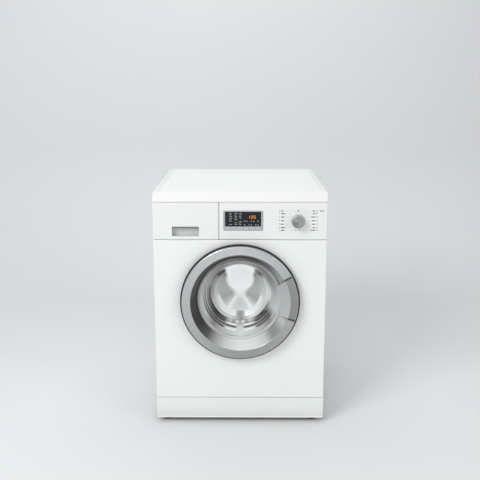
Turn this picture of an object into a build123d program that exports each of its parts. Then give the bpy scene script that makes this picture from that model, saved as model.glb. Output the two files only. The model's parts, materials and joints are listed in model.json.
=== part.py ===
from build123d import *
import math
import os

# A free-standing front-loading washer dryer, in millimetres.
# X is the width, Y the depth with the door towards -Y, and Z is up.
# The origin lies on the floor, below the middle of the machine.

# Overall size
machine_width = 597
machine_height = 845
machine_depth = 610
door_proud = 35          # door handle in front of the front panel
rear_inset = 20          # rear panel in front of the worktop's back edge
ground_gap = 18          # floor to the plinth's lower edge
plinth_height = 81
fascia_height = 131
worktop_height = 33

# Play between pieces
seam = 1.3               # seam between two outer panels
play = 0.3               # between pieces that pass or nearly touch
bore_play = 0.05         # radial play of a shaft in its bore
screw_play = 0.3         # radial play of a screw in its hole

# Sheet metal and outer panels
sheet = 1.0
panel_fold = 17          # depth of the folded rims of the front panels
panel_corner = 4
plastic_wall = 2.5
side_flange = 22
frame_bottom = 22        # lower edge of the cabinet above the floor

# Worktop
worktop_slope = 24       # how far the front lip leans back
worktop_rim = 16
worktop_ledge = 8
board_thickness = 14
rim_corner = 3

# Drawer and its handle recess
drawer_width = 226.5     # from the machine's left side
recess_side = 65.5       # from the machine's left side
recess_width = 93
recess_up = 13           # above the fascia's lower edge
recess_height = 34
recess_depth = 21
tray_side = 28.5         # from the machine's left side
tray_width = 166
tray_up = 61             # above the fascia's lower edge
tray_height = 50
tray_depth = 215
tray_wall = 2
housing_wall = 2
tray_play = 1.5

# Display, keys and dial
bezel_side = 15          # right of the drawer's seam
bezel_width = 136
bezel_up = 33            # above the fascia's lower edge
bezel_height = 70
bezel_proud = 0.8
bezel_corner = 4.5
bezel_depth = 6
window_side = 6          # in from the bezel's left edge
window_width = 123
window_up = 15           # up from the bezel's lower edge
window_height = 51
window_depth = 3
window_play = 0.1
key_count = 6
key_up = 3.5             # up from the bezel's lower edge
key_height = 10
key_gap = 1.2
key_proud = 1.2
key_travel = 1.2
knob_side = 100.8        # from the machine's right side
knob_up = 67.5           # above the fascia's lower edge
knob_r = 22
knob_skirt_r = 24.5
knob_height = 19
knob_skirt_height = 3
knob_stem_r = 5.5
encoder_shaft_r = 3
board_front = 24         # circuit board behind the fascia's face
board_pcb = 1.6

# Door
door_drop = 217          # door's axis below the fascia
rim_r = 207              # black outer rim
ring_r = 201.5           # silver ring
ring_inner_r = 172       # where the flat ring turns into the cone
cone_end_r = 150
ring_front = 30          # flat face of the ring in front of the front panel
cone_depth = 43.7
ring_wall = 2.5
door_hole_r = 166        # hole of the front panel
neck_depth = 11
glass_r = 153
glass_flange = 6
glass_wall = 5
bowl_start_r = 148
bowl_end_r = 120
bowl_depth = 97          # from the flange's front face to the bowl's end
bowl_corner = 20
door_back_gap = 1.2      # back of the door to the front panel
back_plate = 2.8
insert_r = 156.5         # collar of the door that enters the panel's hole
clamp_lip = 3            # lip of the collar behind the glass
seal_collar = 2.5
seal_wall = 3
seal_fold_r = 174

# Door hinge, on the left
hinge_in = 12.5          # hinge pin in from the ring's edge
hinge_out = 20           # hinge pin in front of the front panel
hinge_pin_r = 3
hinge_barrel_r = 5.2
hinge_arm_inner = 34     # from the door's axis to the near side of an arm
hinge_arm_thick = 6
hinge_arm_reach = 14     # from the pin to the near side of the gooseneck
hinge_arm_width = 7
hinge_bar = 2.5          # half the depth of the gooseneck's bar

# Door handle and hook, on the right
handle_from = -18        # degrees about the door's axis
handle_to = 28
handle_inner_r = 139.5
handle_fold_r = 175
handle_wall = 3
handle_seam = 0.6        # degrees
handle_pivot_in = 13.5   # pivot in from the ring's edge
handle_pivot_out = 20
handle_pin_r = 3
handle_mid = 16          # middle of the pivot above the door's axis
handle_span = 60
pocket_floor_out = 14
hook_side = 18           # hook beyond the panel's hole
hook_out = 5
hook_pin_r = 1.5
hook_barrel_r = 3.5
hook_reach = 31          # from the hook's pin to its tip
hook_width = 5
hook_barb = 5
hook_height = 12

# Tub, on the door's axis
tub_r = 256              # outside of the tub
tub_wall = 4
tub_front_gap = 66       # front panel to the tub
tub_front_depth = 54     # the front half of the tub
tub_back_gap = 135       # tub to the rear panel
tub_flange = 8
tub_flange_thick = 6
tub_neck_r = 166
tub_neck_length = 24
neck_bead = 2
tub_hub_r = 48
tub_rib = 4
tub_rib_depth = 20
tub_rib_count = 12
sump_half_width = 62
sump_depth = 18
sump_inset = 20          # sump's ends to the joint and the back
sump_outlet_x = 40
sump_outlet_in = 70      # outlet behind the sump's front
hose_bore_r = 18
hose_wall = 3.5
hose_bend = 46
hose_straight = 4        # of the sump hose above its bend, at least
weight_inner_r = 182
weight_inset = 6         # front weight inside the tub's edge
weight_thick = 30
top_weight_thick = 62
top_weight_from = 110    # degrees
top_weight_side_gap = 22.1
top_weight_in = 80       # from the tub's back
top_weight_length = 70

# Drum, spider, bearings and drive
drum_gap = 16            # drum to the tub's outside
drum_sheet = 1.2
drum_front_gap = 17
drum_back_gap = 24
drum_mouth_r = 156
lifter_height = 58
lifter_foot = 64
lifter_top = 20
lifter_count = 3
shaft_r = 15
shaft_tail_r = 12.5
front_bearing_r = 31
front_bearing_width = 16
rear_bearing_r = 26
rear_bearing_width = 15
bearing_spread = 36      # between the fronts of the two bearings
pulley_r = 140
pulley_out = 66          # behind the tub's back
pulley_width = 20
belt_thick = 3
motor_x = 70
motor_drop = 65          # motor's axis below the sump
motor_r = 58
motor_in = 90            # motor's front before the tub's back
motor_length = 130
motor_pulley_r = 12
motor_shaft_r = 6

# Suspension
spring_in = 14           # spring inside the tub's edge
spring_back = 20         # behind the tub's middle
spring_r = 12
spring_wall = 3
spring_length = 162
spring_clear = 29.6      # lug above the tub's side
damper_x = 150
damper_spread = 60       # from the tub's middle
damper_r = 13
damper_rod_r = 5
damper_bore_r = 9
damper_rod_out = 86      # rod between its cup and lug
damper_lug = 18.6        # lug below the tub's side

# Dryer
fan_x = 140
fan_in = 80              # before the tub's back
fan_r = 52
fan_height = 34
duct_gap = 8             # duct above the tub
duct_height = 50
duct_wall = 3
duct_left = 72
duct_width = 78
duct_front_in = 16       # behind the tub's front
duct_leg_reach = 106     # down beside the tub
condenser_left = 120
condenser_width = 74
condenser_drop = 164     # below the door's axis
condenser_gap = 21       # behind the tub's back
condenser_thick = 34

# Base, pump and connections
tray_rim_height = 48
base_wall = 3
foot_side = 36.5         # in from the sides
foot_front_in = 48
foot_back_in = 35
foot_pad_r = 19
foot_pad_height = 9
foot_stud_r = 5
pump_side = 113.5        # in from the right side
pump_up = 40             # above the frame's lower edge
pump_r = 30
pump_wall = 4
cap_r = 27
cap_grip = 4.4
drain_side = 36.5
drain_down = 122         # below the worktop
drain_spigot_r = 10.5
drain_hose_r = 11
inlet_side = 98.5
inlet_down = 17          # below the tray's top
inlet_spigot_r = 13.2
spigot_length = 17
spigot_play = 1.2        # hole of the rear panel round a spigot
gland_side = 83.5
gland_down = 67          # below the worktop
gland_bore_r = 4.2
gland_r = 9
gland_hex_r = 13
gland_hex = 6
pulley_window_side = 25
pulley_window_height = 380
screw_head_r = 4
screw_head = 2.4
screw_r = 1.8
screw_length = 9

# Places worked out from the sizes above
half_width = machine_width / 2
front_y = -machine_depth / 2 + door_proud
back_y = machine_depth / 2
rear_y = back_y - rear_inset
plinth_top = ground_gap + plinth_height
fascia_top = machine_height - worktop_height
fascia_bottom = fascia_top - fascia_height
panel_back_y = front_y + panel_fold
side_front_y = panel_back_y + play
inside_x = half_width - sheet
side_top = fascia_top - play
base_floor = frame_bottom + base_wall
door_z = fascia_bottom - door_drop
drawer_seam_x = -half_width + drawer_width
recess_left = -half_width + recess_side
recess_bottom = fascia_bottom + recess_up
tray_left = -half_width + tray_side
tray_bottom = fascia_bottom + tray_up
tray_top = tray_bottom + tray_height
tray_front_y = front_y + plastic_wall
tray_back_y = tray_front_y + tray_depth
bezel_left = drawer_seam_x + bezel_side
bezel_bottom = fascia_bottom + bezel_up
window_left = bezel_left + window_side
window_bottom = bezel_bottom + window_up
key_bottom = bezel_bottom + key_up
knob_x = half_width - knob_side
knob_z = fascia_bottom + knob_up
hinge_x = -ring_r + hinge_in
handle_pivot_x = ring_r - handle_pivot_in
hook_x = door_hole_r + hook_side
ring_y = front_y - ring_front
hinge_y = front_y - hinge_out
cone_end_y = ring_y + cone_depth
glass_back_y = cone_end_y + glass_flange
bowl_end_y = cone_end_y + bowl_depth - 1
plate_back_y = front_y - door_back_gap
plate_front_y = plate_back_y - back_plate
rim_front_y = front_y - 21
handle_pivot_y = front_y - handle_pivot_out
pocket_y = front_y - pocket_floor_out
hook_y = front_y - hook_out
tub_front_y = front_y + tub_front_gap
tub_joint_y = tub_front_y + tub_front_depth
tub_back_y = rear_y - tub_back_gap
tub_middle_y = (tub_joint_y + tub_back_y) / 2
sump_front = tub_joint_y + sump_inset
sump_back = tub_back_y - sump_inset
sump_bottom = door_z - tub_r - sump_depth
sump_outlet_y = sump_front + sump_outlet_in
weight_outer_r = tub_r - weight_inset
top_weight_outer_r = tub_r + top_weight_thick
top_weight_y = tub_back_y - top_weight_in
drum_r = tub_r - drum_gap
drum_front_y = tub_front_y + drum_front_gap
drum_back_y = tub_back_y - drum_back_gap
pulley_y = tub_back_y + pulley_out
motor_y = tub_back_y - motor_in
motor_z = sump_bottom - motor_drop
spring_x = tub_r - spring_in
spring_y = tub_middle_y + spring_back
spring_bottom = door_z + math.sqrt(tub_r ** 2 - (spring_x - spring_r) ** 2) + spring_clear
spring_top = spring_bottom + spring_length
damper_front_y = tub_middle_y - damper_spread
damper_back_y = tub_middle_y + damper_spread
damper_lug_z = door_z - math.sqrt(tub_r ** 2 - damper_x ** 2) - damper_lug
damper_cup_top = damper_lug_z - damper_rod_out
fan_y = tub_back_y - fan_in
duct_bottom = door_z + tub_r + duct_gap
duct_top = duct_bottom + duct_height
duct_front = tub_front_y + duct_front_in
condenser_bottom = door_z - condenser_drop
condenser_y = tub_back_y + condenser_gap
foot_x = half_width - foot_side
foot_front_y = front_y + foot_front_in
foot_back_y = rear_y - foot_back_in
pump_x = half_width - pump_side
pump_z = frame_bottom + pump_up
drain_x = half_width - drain_side
drain_z = fascia_top - drain_down
inlet_x = -half_width + inlet_side
inlet_z = tray_top - inlet_down
gland_x = half_width - gland_side
gland_z = fascia_top - gland_down
pulley_window_half = pulley_r + pulley_window_side


def block(x0, x1, y0, y1, z0, z1):
    """A box between two corners."""
    return Pos((x0 + x1) / 2, (y0 + y1) / 2, (z0 + z1) / 2) * Box(x1 - x0, y1 - y0, z1 - z0)


def rod_x(y, z, r, x0, x1):
    """A cylinder along X."""
    return Pos((x0 + x1) / 2, y, z) * Rot(0, 90, 0) * Cylinder(r, x1 - x0)


def rod_y(x, z, r, y0, y1):
    """A cylinder along Y."""
    return Pos(x, (y0 + y1) / 2, z) * Rot(90, 0, 0) * Cylinder(r, y1 - y0)


def rod_z(x, y, r, z0, z1):
    """A cylinder along Z."""
    return Pos(x, y, (z0 + z1) / 2) * Cylinder(r, z1 - z0)


def turned(points, radii=None, x=0, z=door_z):
    """A full ring about an axis along Y, from points that are (radius, y)."""
    if radii is None:
        outline = Polyline(*points, close=True)
    else:
        outline = FilletPolyline(*points, radius=radii, close=True)
    return Pos(x, 0, z) * revolve(make_face(outline), Axis.Y)


def turned_part(points, angle_from, angle_to, radii=None, x=0, z=door_z):
    """A ring between two angles, seen from the front and counted from +X towards +Z."""
    if radii is None:
        outline = Polyline(*points, close=True)
    else:
        outline = FilletPolyline(*points, radius=radii, close=True)
    wedge = revolve(make_face(outline), Axis.Y, angle_to - angle_from)
    return Pos(x, 0, z) * Rot(0, -angle_to, 0) * wedge


def pan(x0, x1, z0, z1, fold, wall, corner, y_face=front_y):
    """A panel whose face looks forward, with soft edges and rims folded back."""
    outer = block(x0, x1, y_face, y_face + fold, z0, z1)
    face_edges = outer.faces().sort_by(Axis.Y)[0].edges()
    outer = fillet(outer.edges().filter_by(Axis.Y) + face_edges, corner)
    inner = block(x0 + wall, x1 - wall, y_face + wall, y_face + fold + wall, z0 + wall, z1 - wall)
    inner_face = inner.faces().sort_by(Axis.Y)[0].edges()
    inner = fillet(inner.edges().filter_by(Axis.Y) + inner_face, max(corner - wall, 0.5))
    return outer - inner


def tube(points, radii, r_out, r_in):
    """A hose along straight runs joined by arcs."""
    path = FilletPolyline(*points, radius=radii)
    start = Plane(origin=path @ 0, z_dir=path % 0)
    return sweep(start * (Circle(r_out) - Circle(r_in)), path)


def save(name, *solids):
    """Write one node, a single solid or a group of separate ones."""
    shape = solids[0] if len(solids) == 1 else Compound(children=list(solids))
    export_step(shape, f"parts/{name}.step")


# Cabinet

screw_rows = 4
screw_low = frame_bottom + 98
screw_pitch = (fascia_top - 152 - screw_low) / (screw_rows - 1)
rear_screws = [(side * (half_width - side_flange / 2), screw_low + row * screw_pitch)
               for side in (-1, 1)
               for row in range(screw_rows)]
side_flange_y = rear_y - 2 * sheet
vent_count = 9
vent_pitch = 14
vent_width = 5
vent_height = 60
vent_left = -((vent_count - 1) * vent_pitch + vent_width) / 2
vent_bottom = fascia_top - 97
cover_lip = 14
cover_raise = 8
cover_half = pulley_window_half + cover_lip
cover_low = door_z - pulley_window_height / 2 - cover_lip
cover_high = door_z + pulley_window_height / 2 + cover_lip
cover_screws = [(side * (cover_half - cover_lip / 2), z)
                for side in (-1, 1)
                for z in (cover_low + cover_lip, door_z, cover_high - cover_lip)]
foot_places = [(side * foot_x, y) for side in (-1, 1) for y in (foot_front_y, foot_back_y)]
damper_places = [(side * damper_x, y) for side in (-1, 1) for y in (damper_front_y, damper_back_y)]
boss_r = 13
boss_top = base_floor + 24
base_front_y = side_front_y + 2 * sheet
base_rib = 8
rail_y = side_front_y + sheet
rail_depth = 15
rail_height = 24
rail_thick = 1.5
hanger_thick = 3
hanger_half = 14
hinge_arm_places = [door_z - hinge_arm_inner - hinge_arm_thick, door_z + hinge_arm_inner]
slot_margin = 2
hook_slot_left = hook_x - 10
hook_slot_right = hook_x + hook_width / 2 + hook_barb + 4
hook_slot_low = door_z - hook_height / 2 - slot_margin
hook_slot_high = door_z + hook_height / 2 + slot_margin


def side_panel(side):
    """A side of the cabinet, with flanges folded in at the front, back and top."""
    outer_x = side * half_width
    inner_x = side * (half_width - side_flange)
    x0, x1 = sorted((outer_x, inner_x))
    y0 = side_front_y
    y1 = side_flange_y + sheet
    body = block(x0, x1, y0, y1, frame_bottom, side_top)
    hollow_x0, hollow_x1 = sorted((side * inside_x, inner_x - side * sheet))
    hollow = block(hollow_x0, hollow_x1, y0 + sheet, y1 - sheet, frame_bottom - sheet, side_top - sheet)
    body -= hollow
    for x, z in rear_screws:
        if x * side > 0:
            body -= rod_y(x, z, screw_r + screw_play, y1 - 2 * sheet, y1 + sheet)
    return body


def rear_panel():
    """The back sheet, with the belt window, the vents and the holes for the connections."""
    y0 = rear_y - sheet
    body = block(-half_width + sheet, half_width - sheet, y0, rear_y, frame_bottom, side_top - sheet)
    cut0 = y0 - sheet
    cut1 = rear_y + sheet
    window_z = door_z - pulley_window_height / 2
    body -= block(-pulley_window_half, pulley_window_half, cut0, cut1,
                  window_z, window_z + pulley_window_height)
    body -= rod_y(inlet_x, inlet_z, inlet_spigot_r + spigot_play, cut0, cut1)
    body -= rod_y(drain_x, drain_z, drain_spigot_r + spigot_play, cut0, cut1)
    body -= rod_y(gland_x, gland_z, gland_r + play, cut0, cut1)
    for x, z in rear_screws:
        body -= rod_y(x, z, screw_r + screw_play, cut0, cut1)
    for x, z in cover_screws:
        body -= rod_y(x, z, screw_r + screw_play, cut0, cut1)
    for i in range(vent_count):
        x = vent_left + i * vent_pitch
        body -= block(x, x + vent_width, cut0, cut1, vent_bottom, vent_bottom + vent_height)
    return body


def rear_cover():
    """The service cover over the belt window, pressed out in its middle."""
    raised = block(-pulley_window_half, pulley_window_half, rear_y, rear_y + cover_raise,
                   cover_low + cover_lip, cover_high - cover_lip)
    back_edges = raised.faces().sort_by(Axis.Y)[-1].edges()
    raised = fillet(raised.edges().filter_by(Axis.Y) + back_edges, cover_raise * 0.6)
    body = raised + block(-cover_half, cover_half, rear_y, rear_y + sheet, cover_low, cover_high)
    hollow = block(-pulley_window_half + sheet, pulley_window_half - sheet,
                   rear_y - sheet, rear_y + cover_raise - sheet,
                   cover_low + cover_lip + sheet, cover_high - cover_lip - sheet)
    hollow_edges = hollow.faces().sort_by(Axis.Y)[-1].edges()
    hollow = fillet(hollow.edges().filter_by(Axis.Y) + hollow_edges, cover_raise * 0.6 - sheet)
    body -= hollow
    for x, z in cover_screws:
        body -= rod_y(x, z, screw_r + screw_play, rear_y - sheet, rear_y + 2 * sheet)
    return body


def screw(x, y, z):
    """A pan-head screw driven forward into the back of the cabinet."""
    return rod_y(x, z, screw_head_r, y, y + screw_head) + rod_y(x, z, screw_r, y - screw_length, y)


def base_tray():
    """The moulded base that carries the dampers, the pump and the feet."""
    x = inside_x - play
    y1 = side_flange_y - play
    z1 = base_floor + tray_rim_height
    body = block(-x, x, base_front_y, y1, frame_bottom, z1)
    body -= block(-x + base_wall, x - base_wall, base_front_y + base_wall, y1 - base_wall, base_floor, z1 + 1)
    for fx, fy in foot_places:
        body += rod_z(fx, fy, boss_r, base_floor - 1, boss_top)
        body -= rod_z(fx, fy, foot_stud_r + play, frame_bottom - 1, boss_top + 1)
    for y in (pump_step_y + 6, tub_middle_y, tub_back_y + 10):
        body += block(-x, x, y, y + base_wall, base_floor - 1, base_floor + base_rib)
    for y in (pump_saddle_front, pump_saddle_back):
        body += block(pump_x - pump_r, pump_x + pump_r, y, y + base_wall, base_floor - 1, pump_z)
    body -= rod_y(pump_x, pump_z, pump_r + play, base_front_y - 1, pump_back_y + 1)
    return body


def foot(x, y):
    """A levelling foot: a rubber pad, its stud and its lock nut."""
    pad = rod_z(x, y, foot_pad_r, 0, foot_pad_height)
    pad = fillet(pad.edges().filter_by(GeomType.CIRCLE), 2)
    stud = rod_z(x, y, foot_stud_r, foot_pad_height - 1, boss_top + 4)
    nut = extrude(Pos(x, y, frame_bottom - 6) * RegularPolygon(9, 6), 6 - play)
    return pad + stud + nut


def channel(y, z, height):
    """A cross rail, open towards the back."""
    x = inside_x - play
    y1 = y + rail_depth
    body = block(-x, x, y, y1, z, z + height)
    return body - block(-x - 1, x + 1, y + rail_thick, y1 + 1, z + rail_thick, z + height - rail_thick)


def spring_hanger(side):
    """A bracket on the side panel, with the hole that holds a spring's hook."""
    x0, x1 = sorted((side * inside_x, side * (spring_x - spring_r + spring_wall)))
    y0 = spring_y - hanger_half
    y1 = spring_y + hanger_half
    arm = block(x0, x1, y0, y1, spring_top, spring_top + hanger_thick)
    x0, x1 = sorted((side * inside_x, side * (inside_x - hanger_thick)))
    foot_plate = block(x0, x1, y0, y1, spring_top - 2 * hanger_half, spring_top + hanger_thick)
    return arm + foot_plate


def front_panel():
    """The white front, with the round door hole and the slots for hinge and hook."""
    body = pan(-half_width, half_width, plinth_top + seam / 2, fascia_bottom - seam / 2,
               panel_fold, sheet, panel_corner)
    cut0 = front_y - 1
    cut1 = front_y + 2 * sheet
    body -= rod_y(0, door_z, door_hole_r, cut0, cut1)
    body += turned([(door_hole_r, front_y + 0.4), (door_hole_r + 0.4, front_y),
                    (door_hole_r + sheet, front_y), (door_hole_r + sheet, front_y + neck_depth),
                    (door_hole_r, front_y + neck_depth)])
    for z in hinge_arm_places:
        body -= block(hinge_x + hinge_arm_reach - seam, hinge_x + hinge_arm_reach + hinge_arm_width + seam,
                      cut0, cut1, z - seam, z + hinge_arm_thick + seam)
    return body - block(hook_slot_left, hook_slot_right, cut0, cut1, hook_slot_low, hook_slot_high)


def plinth():
    """The kick plate, its face curving in towards the lower edge."""
    z0 = ground_gap
    z1 = plinth_top - seam / 2
    curl = 9
    lip = 4
    edge = 1.5
    straight = z1 - 30
    bow = z0 + lip + 22
    depth = panel_fold
    outline = Polyline((front_y + edge, z1), (front_y, z1 - edge), (front_y, straight))
    outline += ThreePointArc((front_y, straight), (front_y + curl * 0.3, bow), (front_y + curl, z0 + lip))
    outline += Polyline((front_y + curl, z0 + lip), (front_y + curl - 2, z0 + lip - 1),
                        (front_y + curl - 2, z0), (front_y + depth, z0), (front_y + depth, z1),
                        (front_y + edge, z1))
    profile = Plane.YZ.offset(-half_width) * make_face(outline)
    body = extrude(profile, machine_width)
    wall = plastic_wall
    inner_x = half_width - wall
    inner = Polyline((front_y + wall, z1 - wall), (front_y + wall, straight))
    inner += ThreePointArc((front_y + wall, straight), (front_y + wall + curl * 0.3, bow),
                           (front_y + wall + curl, z0 + lip + wall))
    inner += Polyline((front_y + wall + curl, z0 + lip + wall), (front_y + depth + 1, z0 + lip + wall),
                      (front_y + depth + 1, z1 - wall), (front_y + wall, z1 - wall))
    body -= extrude(Plane.YZ.offset(-inner_x) * make_face(inner), 2 * inner_x)
    clip_half = 10
    clip_x = pump_x - 50
    for x in (-clip_x, 0, clip_x):
        body += block(x - clip_half, x + clip_half, front_y + wall / 2, base_front_y - play,
                      straight - 10, straight - 5)
    return body


def worktop_frame():
    """The moulded frame of the worktop; its front lip leans back."""
    z0 = fascia_top
    z1 = machine_height
    side_line = [(front_y, z0), (front_y, z0 + 4), (front_y + worktop_slope, z1), (back_y, z1), (back_y, z0)]
    profile = Plane.YZ.offset(-half_width) * make_face(Polyline(*side_line, close=True))
    body = extrude(profile, machine_width)
    upright = body.edges().filter_by(Axis.Z)
    body = fillet(upright, rim_corner)
    top_edges = body.faces().sort_by(Axis.Z)[-1].edges()
    body = fillet(top_edges, 1.2)
    x = half_width - worktop_rim
    y0 = front_y + worktop_slope + 2
    y1 = back_y - worktop_rim
    body -= block(-x, x, y0, y1, z1 - board_thickness, z1 + 1)
    body -= block(-x + worktop_ledge, x - worktop_ledge, y0 + worktop_ledge, y1 - worktop_ledge, z0 - 1, z1)
    return body


def worktop_board():
    """The laminated board set in the frame, a little below its rim."""
    x = half_width - worktop_rim - play
    y0 = front_y + worktop_slope + 2 + play
    y1 = back_y - worktop_rim - play
    z1 = machine_height
    body = block(-x, x, y0, y1, z1 - board_thickness, z1 - 0.5)
    return fillet(body.faces().sort_by(Axis.Z)[-1].edges(), 0.6)


# Fascia, display, keys and dial

key_pitch = window_width / key_count
key_places = [window_left + key_pitch * (i + 0.5) for i in range(key_count)]
bezel_right = bezel_left + bezel_width
bezel_top = bezel_bottom + bezel_height
bezel_lip = 1.5
board_y = front_y + board_front
stem_end_y = board_y - 16
key_half = (key_pitch - key_gap) / 2
key_switch_y = board_y - 6
post_places = [drawer_seam_x + 20, bezel_right + 31, half_width - side_flange - 8]
relay_places = [bezel_right + 26, knob_x - 48, knob_x + 37]


def fascia():
    """The control panel to the right of the drawer, open for the display and the dial."""
    body = pan(drawer_seam_x + seam / 2, half_width, fascia_bottom + seam / 2, fascia_top - seam / 2,
               panel_fold, plastic_wall, panel_corner)
    cut0 = front_y - 1
    cut1 = front_y + plastic_wall + 1
    body -= block(bezel_left + bezel_lip - play, bezel_right - bezel_lip + play, cut0, cut1,
                  bezel_bottom + bezel_lip - play, bezel_top - bezel_lip + play)
    body -= rod_y(knob_x, knob_z, knob_stem_r + play, cut0, cut1)
    return body


def display_bezel():
    """The grey frame round the display, with a row of holes for the keys."""
    flange = block(bezel_left, bezel_right, front_y - bezel_proud, front_y, bezel_bottom, bezel_top)
    flange = fillet(flange.edges().filter_by(Axis.Y), bezel_corner)
    body = flange + block(bezel_left + bezel_lip, bezel_right - bezel_lip, front_y, front_y + bezel_depth,
                          bezel_bottom + bezel_lip, bezel_top - bezel_lip)
    body -= block(window_left, window_left + window_width, front_y - 1, front_y - bezel_proud + window_depth,
                  window_bottom, window_bottom + window_height)
    border = 4
    body -= block(window_left + border, window_left + window_width - border,
                  front_y, front_y + bezel_depth + 1,
                  window_bottom + border, window_bottom + window_height - border)
    for x in key_places:
        body -= block(x - key_half - play, x + key_half + play, front_y - 1, front_y + bezel_depth + 1,
                      key_bottom - play, key_bottom + key_height + play)
    return body


def display_window():
    """The smoked window, flush with the bezel."""
    body = block(window_left + window_play, window_left + window_width - window_play,
                 front_y - bezel_proud, front_y - bezel_proud + window_depth,
                 window_bottom + window_play, window_bottom + window_height - window_play)
    return fillet(body.faces().sort_by(Axis.Y)[0].edges(), 0.5)


def key(x):
    """A key with a cushioned front and a stem towards its switch."""
    body = block(x - key_half, x + key_half, front_y - bezel_proud - key_proud, front_y + bezel_depth + 1,
                 key_bottom, key_bottom + key_height)
    body = fillet(body.faces().sort_by(Axis.Y)[0].edges(), 0.9)
    stem_tip = key_switch_y - key_travel - play
    return body + rod_y(x, key_bottom + key_height / 2, 2, front_y + bezel_depth, stem_tip)


def control_board():
    """The circuit board with the display module, the key switches and the encoder."""
    body = block(drawer_seam_x + 12, half_width - 16, board_y, board_y + board_pcb,
                 fascia_bottom + 20, fascia_top - 16)
    inset = 6
    body += block(window_left + inset, window_left + window_width - inset,
                  front_y + bezel_depth + play, board_y,
                  window_bottom + inset, window_bottom + window_height - inset)
    for x in key_places:
        body += block(x - 4, x + 4, key_switch_y, board_y, key_bottom + 1, key_bottom + 9)
    body += rod_y(knob_x, knob_z, 9, stem_end_y + play, board_y)
    body += rod_y(knob_x, knob_z, encoder_shaft_r, front_y - 8, stem_end_y + play + 1)
    for x in post_places:
        for z in (fascia_bottom + 26, fascia_top - 22):
            body += rod_y(x, z, 4, front_y + plastic_wall, board_y)
    for x in relay_places:
        body += block(x, x + 22, board_y + board_pcb, board_y + 14, fascia_bottom + 40, fascia_bottom + 58)
    return body


def programme_knob():
    """The dial: a skirt, a body with a soft edge, and a stem bored for the encoder's shaft."""
    foot_y = front_y - play
    skirt_face_y = foot_y - knob_skirt_height
    face_y = skirt_face_y - knob_height
    body = turned([(0, foot_y), (0, face_y), (knob_r, face_y), (knob_r, skirt_face_y),
                   (knob_skirt_r, skirt_face_y), (knob_skirt_r, foot_y)],
                  [0, 0, 2.5, 0.8, 1, 0], knob_x, knob_z)
    body += rod_y(knob_x, knob_z, knob_stem_r, foot_y - 1, stem_end_y)
    return body - rod_y(knob_x, knob_z, encoder_shaft_r + bore_play, front_y - 9, stem_end_y + 1)


# Drawer and dispenser

tray_right = tray_left + tray_width
divider_places = [tray_left + tray_width * share for share in (0.38, 0.66)]
housing_left = tray_left - tray_play - housing_wall
housing_right = tray_right + tray_play + housing_wall
housing_bottom = tray_bottom - tray_play - housing_wall
housing_top = tray_top + 4 + housing_wall
housing_front_y = panel_back_y + 4
housing_back_y = tray_back_y + 8
dose_hose_x = tray_left + 80
dose_hose_y = tray_back_y - 27.5
dose_spigot_r = 20
inlet_hose_r = 8
valve_front_y = rear_y - sheet - 34


def drawer_front():
    """The drawer's white front, with a recess for the fingers."""
    body = pan(-half_width, drawer_seam_x - seam / 2, fascia_bottom + seam / 2, fascia_top - seam / 2,
               panel_fold, plastic_wall, panel_corner)
    x0 = recess_left
    x1 = recess_left + recess_width
    z0 = recess_bottom
    z1 = recess_bottom + recess_height
    wall = tray_wall
    body += block(x0 - wall, x1 + wall, front_y + plastic_wall / 2, front_y + recess_depth + wall,
                  z0 - wall, z1 + wall)
    hollow = block(x0, x1, front_y - 1, front_y + recess_depth, z0, z1)
    hollow = fillet(hollow.edges().filter_by(Axis.Y), 4)
    return body - hollow


def drawer_tray():
    """The detergent tray with three compartments and a siphon in the softener's."""
    body = block(tray_left, tray_right, tray_front_y, tray_back_y, tray_bottom, tray_top)
    edges = [tray_left, *divider_places, tray_right]
    for left, right in zip(edges, edges[1:]):
        hollow = block(left + tray_wall, right - tray_wall,
                       tray_front_y + tray_wall + 2, tray_back_y - tray_wall,
                       tray_bottom + tray_wall, tray_top + 1)
        body -= fillet(hollow.edges().filter_by(Axis.Z), 5)
    siphon_x = (divider_places[0] + divider_places[1]) / 2
    siphon_y = tray_back_y - 30
    body += rod_z(siphon_x, siphon_y, 3, tray_bottom, tray_bottom + 34)
    cap = rod_z(siphon_x, siphon_y, 10, tray_bottom + 6, tray_bottom + 42)
    cap -= rod_z(siphon_x, siphon_y, 8, tray_bottom, tray_bottom + 40)
    cap += rod_z(siphon_x, siphon_y, 2, tray_bottom + 33, tray_bottom + 41)
    return body + cap


def dispenser_housing():
    """The box that the drawer slides in, with its outlet and its water inlet."""
    body = block(housing_left, housing_right, housing_front_y, housing_back_y, housing_bottom, housing_top)
    body -= block(housing_left + housing_wall, housing_right - housing_wall, housing_front_y - 1,
                  housing_back_y - housing_wall, housing_bottom + housing_wall, housing_top - housing_wall)
    body += rod_z(dose_hose_x, dose_hose_y, dose_spigot_r, housing_bottom - 14, housing_bottom)
    body -= rod_z(dose_hose_x, dose_hose_y, dose_spigot_r - 2,
                  housing_bottom - 15, housing_bottom + housing_wall + 1)
    body += rod_y(inlet_x, inlet_z, inlet_hose_r - hose_wall / 2 - play,
                  housing_back_y - 1, housing_back_y + 18)
    body -= rod_y(inlet_x, inlet_z, inlet_hose_r - hose_wall - 1, housing_back_y - 5, housing_back_y + 19)
    return body


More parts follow.
